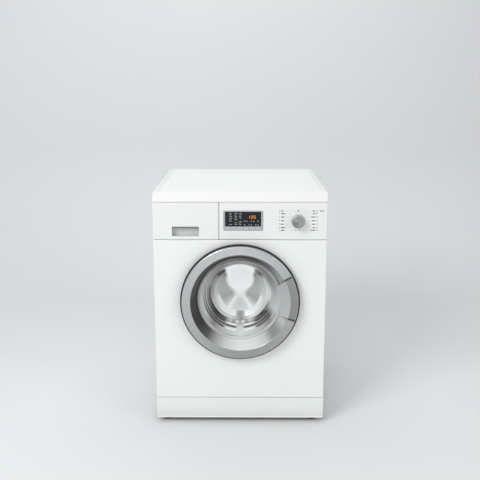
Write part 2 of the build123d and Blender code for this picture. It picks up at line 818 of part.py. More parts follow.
def inlet_valve():
    """The solenoid valve behind the rear panel, and the hose to the dispenser."""
    y1 = rear_y - sheet
    body = block(inlet_x - 18, inlet_x + 18, valve_front_y, y1, inlet_z - 16, inlet_z + 16)
    body += rod_z(inlet_x, valve_front_y + 17, 13, inlet_z - 44, inlet_z - 15)
    body += rod_y(inlet_x, inlet_z, inlet_spigot_r, y1 - 1, rear_y + spigot_length)
    body -= rod_y(inlet_x, inlet_z, 8, rear_y - 4, rear_y + spigot_length + 1)
    nipple_r = inlet_hose_r - hose_wall / 2 - play
    body += rod_y(inlet_x, inlet_z, nipple_r, valve_front_y - 18, valve_front_y + 1)
    hose = rod_y(inlet_x, inlet_z, inlet_hose_r, housing_back_y + play, valve_front_y)
    hose -= rod_y(inlet_x, inlet_z, inlet_hose_r - hose_wall / 2, housing_back_y - 1, valve_front_y + 1)
    return body, hose


# Door

cone_run = (ring_inner_r - cone_end_r) / cone_depth
handle_lug = 6
handle_mid_z = door_z + handle_mid
handle_lug_places = [handle_mid_z - handle_span / 2, handle_mid_z + handle_span / 2 - handle_lug]
hook_boss = 7
hook_boss_low = door_z - hook_height / 2 - play - hook_boss
hook_boss_high = door_z + hook_height / 2 + play
lock_left = door_hole_r + sheet + 6
lock_right = hook_slot_right + 9


def cone_outer(y):
    """The radius of the cone's hidden side at a place along the door's axis."""
    return cone_end_r + (cone_end_y - y) * cone_run + 1.12 * ring_wall


def door_ring():
    """The silver ring: a flat face, a cone down to the glass, and a pocket for the handle."""
    back = rim_front_y + 10
    body = turned([(ring_r, back), (ring_r, ring_y), (ring_inner_r, ring_y), (cone_end_r, cone_end_y),
                   (cone_outer(cone_end_y), cone_end_y), (cone_outer(ring_y + ring_wall), ring_y + ring_wall),
                   (ring_r - ring_wall, ring_y + ring_wall), (ring_r - ring_wall, back)],
                  [0, 4, 2, 0, 0, 0, 1.5, 0])
    gap_from = handle_from - handle_seam
    gap_to = handle_to + handle_seam
    body -= turned_part([(cone_end_r, ring_y - 1), (ring_r + 1, ring_y - 1), (ring_r + 1, pocket_y),
                         (cone_end_r, pocket_y)], gap_from, gap_to)
    cone_at_pocket = cone_outer(pocket_y) - ring_wall / 2
    floor_ring = [(cone_at_pocket, pocket_y), (ring_r, pocket_y), (ring_r, pocket_y + 2),
                  (cone_at_pocket, pocket_y + 2)]
    body += turned_part(floor_ring, gap_from, gap_to)
    end_wall = [(cone_at_pocket, pocket_y), (ring_inner_r + 1, ring_y + 1), (ring_r - 1, ring_y + 1),
                (ring_r - 1, pocket_y + 2), (cone_at_pocket, pocket_y + 2)]
    body += turned_part(end_wall, gap_from - 0.7, gap_from)
    body += turned_part(end_wall, gap_to, gap_to + 0.7)
    for z in handle_lug_places:
        body += block(handle_pivot_x - 4.5, handle_pivot_x + 4, handle_pivot_y - 5.5, pocket_y + 1,
                      z, z + handle_lug)
    return body - rod_z(handle_pivot_x, handle_pivot_y, handle_pin_r + bore_play, handle_mid_z - handle_span,
                        handle_mid_z + handle_span)


def door_back_shell():
    """The black shell behind the ring: outer rim, back plate and the collar round the glass."""
    upstand_r = ring_r + play
    seat_y = rim_front_y + 10.5
    end_y = glass_back_y + clamp_lip
    body = turned([(rim_r, rim_front_y), (rim_r, rim_front_y + 8), (rim_r - 3, rim_front_y + 12),
                   (rim_r - 7, rim_front_y + 16), (rim_r - 11, rim_front_y + 18.4),
                   (rim_r - 15, plate_back_y), (cone_outer(plate_back_y) + 2.5, plate_back_y),
                   (insert_r, cone_end_y + 0.5), (insert_r, end_y), (bowl_start_r + 1.5, end_y),
                   (bowl_start_r + 1.5, glass_back_y + play), (glass_r + play, glass_back_y + play),
                   (glass_r + play, cone_end_y), (cone_outer(plate_front_y) + play, plate_front_y),
                   (rim_r - 17, plate_front_y), (rim_r - 11, plate_front_y - 2.4), (upstand_r, seat_y),
                   (upstand_r, rim_front_y)])
    notch_left = hinge_x - 17
    notch_right = hinge_x + hinge_arm_reach + hinge_arm_width + 5
    for z in hinge_arm_places:
        body -= block(notch_left, notch_right, rim_front_y + 10, front_y, z - 1.5, z + hinge_arm_thick + 1.5)
    for z in (hook_boss_low, hook_boss_high):
        body += block(hook_x - 4, hook_x + 4, hook_y - 4, plate_back_y, z, z + hook_boss)
    body -= block(hook_x - 8, hook_x + 6, hook_y - 5, front_y, door_z - hook_height / 2 - play,
                  door_z + hook_height / 2 + play)
    return body - rod_z(hook_x, hook_y, hook_pin_r + bore_play,
                        hook_boss_low - 1, hook_boss_high + hook_boss + 1)


def door_glass():
    """The glass bowl, with a flange held between the ring and the back shell."""
    start_y = glass_back_y
    wall = glass_wall
    slope = (bowl_start_r - 1 - bowl_end_r) / (bowl_end_y - 3 - start_y - 9)
    inner_end_r = bowl_end_r - wall + slope
    return turned([(glass_r, cone_end_y), (glass_r, start_y), (bowl_start_r, start_y),
                   (bowl_start_r - 1, start_y + 9), (bowl_end_r, bowl_end_y - 3), (0, bowl_end_y),
                   (0, bowl_end_y - wall), (inner_end_r, bowl_end_y - 3 - wall),
                   (bowl_start_r - 1 - wall, start_y + 9 - wall / 2), (cone_end_r - 1.5, cone_end_y)],
                  [0, 0, 0, 8, bowl_corner, 0, 0, bowl_corner - wall, 6, 0])


def hinge_bracket():
    """The plate behind the front panel, its two gooseneck arms and the hinge pin."""
    plate_y = front_y + sheet
    arm_x0 = hinge_x + hinge_arm_reach
    arm_x1 = arm_x0 + hinge_arm_width
    body = block(arm_x1 - 64, arm_x1, plate_y, plate_y + 3, door_z - 62, door_z + 62)
    clear_r = door_hole_r + sheet + play
    body -= rod_y(0, door_z, clear_r, plate_y - 1, plate_y + 4)
    for z in hinge_arm_places:
        body += block(arm_x0, arm_x1, hinge_y - hinge_bar, plate_y + 1, z, z + hinge_arm_thick)
        body += block(hinge_x, arm_x1, hinge_y - hinge_bar, hinge_y + hinge_bar, z, z + hinge_arm_thick)
        body += rod_z(hinge_x, hinge_y, hinge_barrel_r, z, z + hinge_arm_thick)
        body -= rod_z(hinge_x, hinge_y, hinge_pin_r, z - 1, z + hinge_arm_thick + 1)
    low_arm, high_arm = hinge_arm_places
    pin = rod_z(hinge_x, hinge_y, hinge_pin_r, low_arm - 1, high_arm + hinge_arm_thick + 1)
    return body, pin


def hinge_leaf():
    """The door's half of the hinge: a barrel on the pin and a foot on the back plate."""
    half = hinge_arm_inner - 0.6
    z0 = door_z - half
    z1 = door_z + half
    body = rod_z(hinge_x, hinge_y, hinge_barrel_r, z0, z1)
    body += block(hinge_x, hinge_x + 15, hinge_y - 1.5, hinge_y + 1.5, z0, z1)
    body += block(hinge_x + 6, hinge_x + 15, hinge_y - 1.5, plate_front_y, z0, z1)
    return body - rod_z(hinge_x, hinge_y, hinge_pin_r + bore_play, z0 - 1, z1 + 1)


def door_handle():
    """The pull handle: a segment of the ring that reaches in over the glass."""
    skirt_y = rim_front_y - 4.8
    outer_r = ring_r - 0.2
    wall = handle_wall
    tip_y = ring_y - 5
    body = turned_part([(outer_r, skirt_y), (outer_r, ring_y - 0.4), (handle_fold_r, ring_y - 0.8),
                        (handle_inner_r + 4, tip_y), (handle_inner_r, tip_y),
                        (handle_inner_r, tip_y + 8), (handle_inner_r + wall, tip_y + 8),
                        (handle_inner_r + wall, tip_y + 3), (handle_fold_r, ring_y + wall - 0.8),
                        (outer_r - wall, ring_y + wall - 0.4), (outer_r - wall, skirt_y)],
                       handle_from, handle_to, [0, 3, 0.4, 1, 1.5, 1, 1, 1, 0.4, 0.8, 0])
    web_low = handle_lug_places[0] + handle_lug + 0.6
    web_high = handle_lug_places[1] - 0.6
    body += block(handle_pivot_x - 3, handle_pivot_x + 3, ring_y + 1.2, handle_pivot_y, web_low, web_high)
    return body + rod_z(handle_pivot_x, handle_pivot_y, handle_pin_r, handle_lug_places[0],
                        handle_lug_places[1] + handle_lug)


def door_hook():
    """The hook that the lock catches, on its own pin."""
    z0 = door_z - hook_height / 2
    z1 = door_z + hook_height / 2
    tip_y = hook_y + hook_reach
    body = rod_z(hook_x, hook_y, hook_barrel_r, z0, z1)
    body += block(hook_x - hook_width / 2, hook_x + hook_width / 2, hook_y, tip_y, z0, z1)
    barb = Plane.XY.offset(z0) * make_face(Polyline(
        (hook_x + hook_width / 2 - 1, tip_y - 8), (hook_x + hook_width / 2 + hook_barb, tip_y - 8),
        (hook_x + hook_width / 2 + hook_barb, tip_y - 5), (hook_x + hook_width / 2 - 1, tip_y), close=True))
    body += extrude(barb, hook_height)
    return body + rod_z(hook_x, hook_y, hook_pin_r, hook_boss_low, hook_boss_high + hook_boss)


def door_lock():
    """The lock behind the front panel, with the slot that takes the hook."""
    y0 = front_y + sheet
    tip_y = hook_y + hook_reach
    body = block(lock_left, lock_right, y0, tip_y + 4.5, door_z - 30, door_z + 42)
    body += block(lock_left + 6, lock_right, y0, y0 + 3, door_z - 44, door_z + 56)
    body += block(lock_left + 8, lock_right - 6, tip_y - 4, tip_y + 4.5, door_z - 44, door_z - 29)
    return body - block(hook_slot_left, hook_slot_right, y0 - 1, tip_y + slot_margin,
                        hook_slot_low, hook_slot_high)


def bellows():
    """The rubber door seal between the front panel's neck and the tub's neck."""
    outer = door_hole_r - play
    inner = outer - seal_collar
    lip_r = bowl_start_r + play
    fold_r = seal_fold_r
    lip_y = glass_back_y + clamp_lip + 1
    neck_in = tub_neck_r + neck_bead + play
    neck_out = neck_in + seal_wall
    neck_end = tub_front_y - 3
    return turned([(outer, front_y + 1), (outer, lip_y + 3.3), (lip_r + 5, lip_y + 3.8),
                   (fold_r - 1, lip_y + 7.3), (fold_r + 2, lip_y + 11), (fold_r, lip_y + 16),
                   (neck_out, lip_y + 18.5), (neck_out, neck_end), (neck_in, neck_end),
                   (neck_in, lip_y + 16.2), (fold_r - 4, lip_y + 14.2), (fold_r - 2.5, lip_y + 11.5),
                   (lip_r, lip_y + 6.6), (lip_r, lip_y), (inner, lip_y), (inner, front_y + 1)],
                  [1, 2, 1, 1, 2, 2, 0.5, 0.5, 0.5, 0.5, 1, 1, 0.8, 1, 1, 1])


# Tub

tub_inner_r = tub_r - tub_wall
front_bearing_y = tub_back_y + 2
rear_bearing_y = front_bearing_y + bearing_spread
hub_back_y = rear_bearing_y + rear_bearing_width + 2
hub_front_y = tub_back_y - 8
motor_lug_z = sump_bottom - 4
motor_lug_places = [motor_y + 10, motor_y + 68]
motor_lug = 12
motor_lug_half = 48
duct_leg_back = tub_joint_y - tub_flange_thick - 4
duct_leg_bottom = door_z + tub_r - duct_leg_reach
dose_stub_top = door_z + tub_r - 32
dose_stub_bottom = dose_stub_top - 104
heater_plug = 30
heater_z = sump_bottom + 11
heater_r = 4
heater_spread = 20
heater_length = sump_back - sump_front - 90


def tub_core(r):
    """A cylinder on the tub's axis, used to trim what meets the tub."""
    return rod_y(0, door_z, r, tub_front_y - 50, tub_back_y + 50)


def tub_front():
    """The front half of the tub, with the neck that the door seal grips."""
    neck_y = tub_front_y - tub_neck_length
    joint_y = tub_joint_y - play / 2
    body = turned([(tub_neck_r - tub_wall, neck_y), (tub_neck_r + neck_bead, neck_y),
                   (tub_neck_r + neck_bead, neck_y + 4), (tub_neck_r, neck_y + 4),
                   (tub_neck_r, tub_front_y), (tub_r, tub_front_y),
                   (tub_r, joint_y - tub_flange_thick), (tub_r + tub_flange, joint_y - tub_flange_thick),
                   (tub_r + tub_flange, joint_y), (tub_inner_r, joint_y),
                   (tub_inner_r, tub_front_y + tub_wall), (tub_neck_r - tub_wall, tub_front_y + tub_wall)],
                  [0.5, 0.5, 0.5, 0.5, 2, 12, 2, 1, 0, 0, 8, 1])
    return body - block(duct_left + 8, duct_left + duct_width - 8, duct_front + 6, duct_leg_back - 6,
                        duct_leg_bottom, door_z + tub_r + 1)


def tub_rear():
    """The rear half of the tub: ribbed back, bearing hub, heater sump and lugs."""
    joint_y = tub_joint_y + play / 2
    flange_y = joint_y + tub_flange_thick
    seat_y = front_bearing_y + front_bearing_width
    body = turned([(tub_inner_r, joint_y), (tub_r + tub_flange, joint_y), (tub_r + tub_flange, flange_y),
                   (tub_r, flange_y), (tub_r, tub_back_y), (tub_hub_r, tub_back_y), (tub_hub_r, hub_back_y),
                   (rear_bearing_r, hub_back_y), (rear_bearing_r, rear_bearing_y),
                   (rear_bearing_r - 4, rear_bearing_y), (rear_bearing_r - 4, seat_y),
                   (front_bearing_r, seat_y), (front_bearing_r, hub_front_y),
                   (front_bearing_r + 11, hub_front_y), (front_bearing_r + 11, tub_back_y - tub_wall),
                   (tub_inner_r, tub_back_y - tub_wall)],
                  [0, 1, 1, 2, 10, 3, 2, 0, 0, 0, 0, 0, 0, 2, 2, 6])
    for i in range(tub_rib_count):
        rib = block(tub_hub_r - 2, tub_r - 8, tub_back_y - 1, tub_back_y + tub_rib_depth,
                    -tub_rib / 2, tub_rib / 2)
        body += Pos(0, 0, door_z) * Rot(0, i * 360 / tub_rib_count, 0) * rib
    core = tub_core(tub_r - 2)
    body += block(-sump_half_width, sump_half_width, sump_front, sump_back,
                  sump_bottom, door_z - tub_r + 40) - core
    for y in motor_lug_places:
        body += block(motor_x - motor_lug_half, motor_x + motor_lug_half, y, y + motor_lug, motor_lug_z,
                      door_z - tub_r + 60) - core
    for x, y in damper_places:
        body += block(x - 12, x + 12, y - 10, y + 10, damper_lug_z, door_z - tub_r + 90) - core
    for side in (-1, 1):
        x0, x1 = sorted((side * (spring_x - 4 * spring_r), side * (spring_x + spring_r)))
        body += block(x0, x1, spring_y - 8, spring_y + 8, spring_bottom - 14, spring_bottom) - core
    body += rod_z(dose_hose_x, dose_hose_y, dose_spigot_r, dose_stub_bottom, dose_stub_top) - core
    body += rod_z(sump_outlet_x, sump_outlet_y, hose_bore_r - play, sump_bottom - 22, sump_bottom + 2)
    wall = tub_wall
    body -= block(-sump_half_width + wall, sump_half_width - wall, sump_front + wall, sump_back - wall,
                  sump_bottom + wall, door_z - tub_r + 34)
    body -= rod_z(sump_outlet_x, sump_outlet_y, hose_bore_r - 3, sump_bottom - 23, sump_bottom + 5)
    body -= rod_z(dose_hose_x, dose_hose_y, dose_spigot_r - 3, dose_stub_bottom, dose_stub_top + 1)
    return body - block(-heater_plug, heater_plug, sump_front - 1, sump_front + wall + 1,
                        heater_z - 5, heater_z + 5)


def heater():
    """The tubular heater in the sump, with its sealing plug and terminals."""
    flange_y = sump_front - 4
    body = block(-heater_plug - 4, heater_plug + 4, flange_y, sump_front, heater_z - 9, heater_z + 6)
    body += block(-heater_plug + play, heater_plug - play, sump_front - 1, sump_front + tub_wall,
                  heater_z - 5 + play, heater_z + 5 - play)
    y1 = sump_front + heater_length
    for side in (-1, 1):
        body += rod_y(side * heater_spread, heater_z, heater_r, sump_front, y1)
        body += block(side * heater_spread - 3, side * heater_spread + 3, flange_y - 8, flange_y,
                      heater_z - 1, heater_z + 1)
    bend = Pos(0, y1, heater_z) * Torus(heater_spread, heater_r)
    rear_half = block(-heater_spread - 9, heater_spread + 9, y1, y1 + 40, heater_z - 9, heater_z + 9)
    return body + (bend & rear_half)


def front_weight():
    """The cast ring of ballast bolted to the tub's front."""
    y1 = tub_front_y
    y0 = y1 - weight_thick
    body = turned([(weight_inner_r, y0), (weight_outer_r, y0), (weight_outer_r, y1), (weight_inner_r, y1)],
                  [3, 6, 0, 0])
    for angle in (45, 135, 225, 315):
        x = (weight_inner_r + weight_outer_r) / 2 * math.cos(math.radians(angle))
        z = door_z + (weight_inner_r + weight_outer_r) / 2 * math.sin(math.radians(angle))
        body -= rod_y(x, z, 9, y0 - 1, y0 + 8)
        body -= rod_y(x, z, 4, y0 - 1, y1 + 1)
    return body


def top_weight():
    """The cast block of ballast on the upper left of the tub."""
    y0 = top_weight_y
    y1 = top_weight_y + top_weight_length
    inner_r = tub_r + play
    side_angle = math.degrees(math.acos((inside_x - top_weight_side_gap) / top_weight_outer_r))
    return turned_part([(inner_r, y0), (top_weight_outer_r, y0), (top_weight_outer_r, y1), (inner_r, y1)],
                       top_weight_from, 180 - side_angle, [0, 8, 8, 0])


# Bearings, drum and drive

seal_y = hub_front_y + 1.5
shoulder_y = rear_bearing_y - play
lifter_front_y = drum_front_y + 26
lifter_back_y = drum_back_y - 30
pulley_back_y = pulley_y + pulley_width
groove_count = 5
groove_depth = 1.6


def ball_bearing(inner_r, outer_r, y, width):
    """A sealed ball bearing with its shields set in."""
    inner = inner_r + bore_play
    land = (outer_r - inner) * 0.25
    return turned([(inner, y), (inner + land, y), (inner + land, y + 0.8), (outer_r - land, y + 0.8),
                   (outer_r - land, y), (outer_r, y), (outer_r, y + width), (outer_r - land, y + width),
                   (outer_r - land, y + width - 0.8), (inner + land, y + width - 0.8),
                   (inner + land, y + width), (inner, y + width)])


def bearings():
    """The two bearings of the drum's shaft and the lip seal in front of them."""
    front = ball_bearing(shaft_r, front_bearing_r, front_bearing_y, front_bearing_width)
    rear = ball_bearing(shaft_tail_r, rear_bearing_r, rear_bearing_y, rear_bearing_width)
    seal_end = front_bearing_y - play
    seal = turned([(front_bearing_r, seal_y), (front_bearing_r, seal_end), (shaft_r + 5, seal_end),
                   (shaft_r + bore_play, seal_end - 3), (shaft_r + bore_play, seal_end - 4),
                   (shaft_r + 3, seal_y)])
    return front, rear, seal


def drum_shell():
    """The steel drum, with a rolled mouth and soft corners."""
    inner_r = drum_r - drum_sheet
    front_inner_y = drum_front_y + drum_sheet
    mouth_y = drum_front_y - 4
    return turned([(drum_mouth_r, mouth_y), (drum_mouth_r + drum_sheet, mouth_y),
                   (drum_mouth_r + drum_sheet, drum_front_y), (drum_r, drum_front_y), (drum_r, drum_back_y),
                   (0, drum_back_y), (0, drum_back_y - drum_sheet), (inner_r, drum_back_y - drum_sheet),
                   (inner_r, front_inner_y), (drum_mouth_r, front_inner_y)],
                  [0.4, 0.4, 3, 12, 10, 0, 0, 10 - drum_sheet, 12 - drum_sheet, 4])


def drum_lifter(angle):
    """One of the paddles that lift the wash, set on the inside of the drum."""
    foot_z = drum_r + 4
    top_z = drum_r - lifter_height
    outline = make_face(FilletPolyline((-lifter_foot / 2, foot_z), (-lifter_top / 2, top_z),
                                       (lifter_top / 2, top_z), (lifter_foot / 2, foot_z),
                                       radius=[0, 8, 8, 0], close=True))
    length = lifter_back_y - lifter_front_y
    paddle = extrude(Plane.XZ.offset(-lifter_front_y) * outline, -length)
    paddle = Pos(0, 0, door_z) * Rot(0, 90 - angle, 0) * paddle
    return paddle & rod_y(0, door_z, drum_r - drum_sheet - play, lifter_front_y - 1, lifter_back_y + 1)


def drum_spider():
    """The cast three-arm spider behind the drum, with the drum's shaft."""
    y0 = drum_back_y
    y1 = hub_front_y - 2
    body = rod_y(0, door_z, 34, y0, y1)
    for angle in (30, 150, 270):
        outline = Polyline((0, -24), (drum_r - 8, -13), (drum_r - 8, 13), (0, 24), close=True)
        arm = Plane.XZ.offset(-y0) * make_face(outline)
        body += Pos(0, 0, door_z) * Rot(0, -angle, 0) * extrude(arm, -(y1 - y0 - 3))
    body += rod_y(0, door_z, shaft_r, y0 + 1, shoulder_y)
    body += rod_y(0, door_z, shaft_tail_r, shoulder_y - 1, pulley_back_y)
    return body + rod_y(0, door_z, 8, pulley_back_y - 1, pulley_back_y + 12)


def belt_wheel(x, z, outer_r, inner_r, y0, y1):
    """A rim with grooves for the ribs of the belt."""
    pitch = (y1 - y0) / (groove_count + 1)
    points = [(inner_r, y0), (outer_r, y0)]
    for i in range(groove_count):
        middle = y0 + pitch * (i + 1)
        points.append((outer_r, middle - pitch * 0.4))
        points.append((outer_r - groove_depth, middle))
        points.append((outer_r, middle + pitch * 0.4))
    points += [(outer_r, y1), (inner_r, y1)]
    return turned(points, None, x, z)


def drum_pulley():
    """The cast pulley on the drum's shaft, and its nut."""
    body = belt_wheel(0, door_z, pulley_r, pulley_r - 10, pulley_y, pulley_back_y)
    for i in range(6):
        spoke = block(20, pulley_r - 8, pulley_y + 5, pulley_back_y - 5, -9, 9)
        body += Pos(0, 0, door_z) * Rot(0, i * 60, 0) * spoke
    body += rod_y(0, door_z, 26, pulley_y, pulley_back_y)
    body -= rod_y(0, door_z, shaft_tail_r, pulley_y - 1, pulley_back_y + 1)
    nut = extrude(Plane.XZ.offset(-pulley_back_y) * RegularPolygon(13, 6), -8)
    nut = Pos(0, 0, door_z) * nut - rod_y(0, door_z, 8, pulley_back_y - 1, pulley_back_y + 9)
    return body, nut


def belt_loop(extra):
    """The outline round both pulleys, a given distance outside them."""
    drum_circle = Pos(0, door_z) * Circle(pulley_r + extra)
    motor_circle = Pos(motor_x, motor_z) * Circle(motor_pulley_r + extra)
    return make_hull([*drum_circle.edges(), *motor_circle.edges()])


def drive_belt():
    """The flat ribbed belt from the motor to the drum."""
    loop = belt_loop(play + belt_thick) - belt_loop(play)
    return extrude(Plane.XZ.offset(-pulley_y - 3) * loop, -(pulley_width - 6))


def motor():
    """The motor below the tub, hung from the tub's lugs by its ears."""
    y1 = motor_y + motor_length
    body = rod_y(motor_x, motor_z, motor_r, motor_y, y1)
    body = fillet(body.edges().filter_by(GeomType.CIRCLE), 6)
    for i in range(4):
        y = motor_y + 36 + i * 16
        core = rod_y(motor_x, motor_z, motor_r - 4, y - 1, y + 7)
        body -= rod_y(motor_x, motor_z, motor_r + 1, y, y + 6) - core
    for y in motor_lug_places:
        body += block(motor_x - 40, motor_x + 40, y, y + motor_lug, motor_z, motor_lug_z)
    body += block(motor_x - motor_r - 14, motor_x - motor_r + 12, motor_y + 20, motor_y + 50,
                  motor_z - 14, motor_z + 14)
    return body - rod_y(motor_x, motor_z, motor_shaft_r + bore_play, y1 - 42, y1 + 1)


def motor_pulley():
    """The small pulley on the motor's shaft."""
    y1 = motor_y + motor_length
    body = belt_wheel(motor_x, motor_z, motor_pulley_r, motor_shaft_r - 1, pulley_y, pulley_back_y)
    return body + rod_y(motor_x, motor_z, motor_shaft_r, y1 - 40, pulley_back_y + 2)


# Suspension

def spring(side):
    """A suspension spring, from its hanger down to the tub's lug."""
    x = side * spring_x
    return rod_z(x, spring_y, spring_r, spring_bottom, spring_top) - rod_z(
        x, spring_y, spring_r - spring_wall, spring_bottom - 1, spring_top + 1)


def damper_cylinder(x, y):
    """The fixed half of a damper, standing in the base."""
    body = rod_z(x, y, damper_r, base_floor, damper_cup_top)
    return body - rod_z(x, y, damper_bore_r, base_floor + 24, damper_cup_top + 1)


def damper_rod(x, y):
    """The moving half of a damper, below its lug on the tub."""
    body = rod_z(x, y, damper_rod_r, base_floor + 40, damper_lug_z)
    body += rod_z(x, y, damper_bore_r - play, base_floor + 44, base_floor + 60)
    return body + rod_z(x, y, 9, damper_lug_z - 8, damper_lug_z)


# Dryer

scroll_gap = 13
scroll_r = fan_r + scroll_gap
duct_right = duct_left + duct_width
fan_floor = duct_bottom + 8
fan_shaft_r = 3
blade_count = 20
elbow_left = fan_x - 30
elbow_right = fan_x + 34
elbow_bottom = duct_bottom + 6
elbow_top = duct_top - 6


def dryer_duct():
    """The duct over the tub, from the fan's scroll down to the tub's front, with the fan motor."""
    wall = duct_wall
    body = rod_z(fan_x, fan_y, scroll_r, duct_bottom, duct_top)
    body += block(duct_left, duct_right, duct_front, fan_y + wall, duct_bottom, duct_top)
    leg = block(duct_left, duct_right, duct_front, duct_leg_back, duct_leg_bottom, duct_bottom + 1)
    body += leg - tub_core(tub_r + play)
    body -= rod_z(fan_x, fan_y, scroll_r - wall, duct_bottom + wall, duct_top - wall)
    body -= block(duct_left + wall, duct_right - wall, duct_front + wall, fan_y,
                  duct_bottom + wall, duct_top - wall)
    body -= block(duct_left + wall, duct_right - wall, duct_front + wall, duct_leg_back - wall,
                  duct_leg_bottom, duct_bottom + wall + 1)
    body -= block(elbow_left + wall, elbow_right - wall, fan_y, fan_y + scroll_r + 1,
                  elbow_bottom + wall, elbow_top - wall)
    body += rod_z(fan_x, fan_y, 30, duct_bottom - 29, duct_bottom)
    return body + rod_z(fan_x, fan_y, fan_shaft_r, duct_bottom, fan_floor + 14)


def condenser():
    """The condenser duct up the tub's back, with its elbow to the fan."""
    wall = 2.5
    x0 = condenser_left
    x1 = condenser_left + condenser_width
    y0 = condenser_y
    y1 = condenser_y + condenser_thick
    foot_z = condenser_bottom + 10
    body = block(x0, x1, y0, y1, condenser_bottom, elbow_top)
    body = fillet(body.edges().filter_by(Axis.Z), 5)
    body += block(elbow_left, elbow_right, fan_y + 30, y1 - 6, elbow_bottom, elbow_top)
    body += block(x0 + 10, x1 - 24, tub_back_y, y0 + 1, foot_z, foot_z + 30)
    body -= rod_z(fan_x, fan_y, scroll_r + play, elbow_bottom - 1, elbow_top + 1)
    body -= block(x0 + wall, x1 - wall, y0 + wall, y1 - wall, condenser_bottom + wall, elbow_top - wall)
    body -= block(elbow_left + wall, elbow_right - wall, fan_y + 30, y1 - 6 - wall, elbow_bottom + wall,
                  elbow_top - wall)
    return body - block(x0 + 10 + wall, x1 - 24 - wall, tub_back_y - 1, y0 + wall + 1, foot_z + wall,
                        foot_z + 30 - wall)


def fan_impeller():
    """The dryer fan's wheel, with straight blades between a disc and a ring."""
    top = fan_floor + fan_height
    body = rod_z(fan_x, fan_y, fan_r, fan_floor, fan_floor + 2)
    body += rod_z(fan_x, fan_y, 11, fan_floor, fan_floor + 18)
    for i in range(blade_count):
        blade = block(fan_r - 14, fan_r - 1, -0.8, 0.8, fan_floor + 1, top - 1)
        body += Pos(fan_x, fan_y, 0) * Rot(0, 0, i * 360 / blade_count) * blade
    body += rod_z(fan_x, fan_y, fan_r, top - 2, top) - rod_z(fan_x, fan_y, fan_r - 14, top - 3, top + 1)
    return body - rod_z(fan_x, fan_y, fan_shaft_r + bore_play, fan_floor - 1, fan_floor + 14.4)


# Pump, hoses and connections

pump_front_y = base_front_y - 1.5
pump_back_y = pump_front_y + 100
pump_step_y = pump_back_y + 26
pump_saddle_front = pump_front_y + 26
pump_saddle_back = pump_front_y + 86
pump_inlet_y = pump_front_y + 60
pump_inlet_x = pump_x - pump_r - 22
pump_outlet_x = pump_x + 20
pump_outlet_y = pump_back_y + 13
pump_outlet_top = pump_z + 50
pump_bore_r = pump_r - pump_wall
nipple_r = drain_hose_r - hose_wall + 0.7
drain_y = rear_y - 24
drain_low_z = pump_z + 78
drain_elbow_z = drain_z - 34


def drain_pump():
    """The pump, with the filter tube that the cap closes."""
    body = rod_y(pump_x, pump_z, pump_r, pump_front_y, pump_back_y)
    body += rod_y(pump_x, pump_z, pump_r + 5, pump_back_y, pump_step_y)
    body += rod_y(pump_x, pump_z, pump_r - 7, pump_step_y, pump_step_y + 32)
    body += rod_x(pump_inlet_y, pump_z, hose_bore_r - play, pump_inlet_x, pump_x)
    body += rod_z(pump_outlet_x, pump_outlet_y, nipple_r, pump_z, pump_outlet_top)
    body -= rod_y(pump_x, pump_z, pump_bore_r, pump_front_y - 1, pump_back_y - 6)
    return body - rod_x(pump_inlet_y, pump_z, hose_bore_r - 3, pump_inlet_x - 1, pump_x)


def filter_cap():
    """The cap of the lint filter: a flange, a plug in the tube and a bar to turn it by."""
    y0 = pump_front_y - play
    body = rod_y(pump_x, pump_z, cap_r, y0 - 6, y0)
    body += rod_y(pump_x, pump_z, pump_bore_r - play, y0 - 1, y0 + 36)
    body += block(pump_x - cap_r + 6, pump_x + cap_r - 6, y0 - 6 - cap_grip, y0 - 5, pump_z - 4, pump_z + 4)
    for angle in (45, 135, 225, 315):
        x = pump_x + 16 * math.cos(math.radians(angle))
        z = pump_z + 16 * math.sin(math.radians(angle))
        body += rod_y(x, z, 2.5, y0 + 35, y0 + 78)
    ring = rod_y(pump_x, pump_z, 20, y0 + 74, y0 + 80) - rod_y(pump_x, pump_z, 12, y0 + 73, y0 + 81)
    return body + ring


def sump_hose():
    """The hose from the sump down and forward to the pump."""
    top = (sump_outlet_x, sump_outlet_y, sump_bottom - 2)
    low = (sump_outlet_x, sump_outlet_y, pump_z)
    turn = (sump_outlet_x, pump_inlet_y, pump_z)
    end = (pump_x - pump_r - 4, pump_inlet_y, pump_z)
    bend = min(hose_bend, top[2] - low[2] - hose_straight)
    return tube([top, low, turn, end], [bend, bend], hose_bore_r + hose_wall, hose_bore_r)


def dose_hose():
    """The hose from the dispenser down to the tub."""
    x = dose_hose_x
    y = dose_hose_y
    z0 = dose_stub_top - 20
    return rod_z(x, y, dose_spigot_r + play + hose_wall, z0, housing_bottom - play) - rod_z(
        x, y, dose_spigot_r + play, z0 - 1, housing_bottom)


def drain_hose():
    """The inner drain hose, up the rear corner to the outlet elbow on the rear panel."""
    start = (pump_outlet_x, pump_outlet_y, pump_outlet_top - 14)
    rise = (pump_outlet_x, pump_outlet_y, drain_low_z)
    side = (drain_x, pump_outlet_y + 80, drain_low_z)
    corner = (drain_x, drain_y, drain_low_z)
    top = (drain_x, drain_y, drain_elbow_z)
    hose = tube([start, rise, side, corner, top], [20, 60, 60], drain_hose_r, drain_hose_r - 2.5)
    elbow = rod_z(drain_x, drain_y, drain_spigot_r, drain_elbow_z, drain_z)
    elbow += rod_z(drain_x, drain_y, nipple_r, drain_elbow_z - 16, drain_elbow_z + 1)
    elbow += Pos(drain_x, drain_y, drain_z) * Sphere(drain_spigot_r)
    elbow += rod_y(drain_x, drain_z, drain_spigot_r, drain_y, rear_y + spigot_length)
    elbow += rod_y(drain_x, drain_z, drain_spigot_r + 3.5, rear_y - sheet - 3, rear_y - sheet)
    elbow -= rod_y(drain_x, drain_z, drain_spigot_r - 3, drain_y, rear_y + spigot_length + 1)
    return hose, elbow - rod_z(drain_x, drain_y, nipple_r - 2, drain_elbow_z - 17, drain_z)


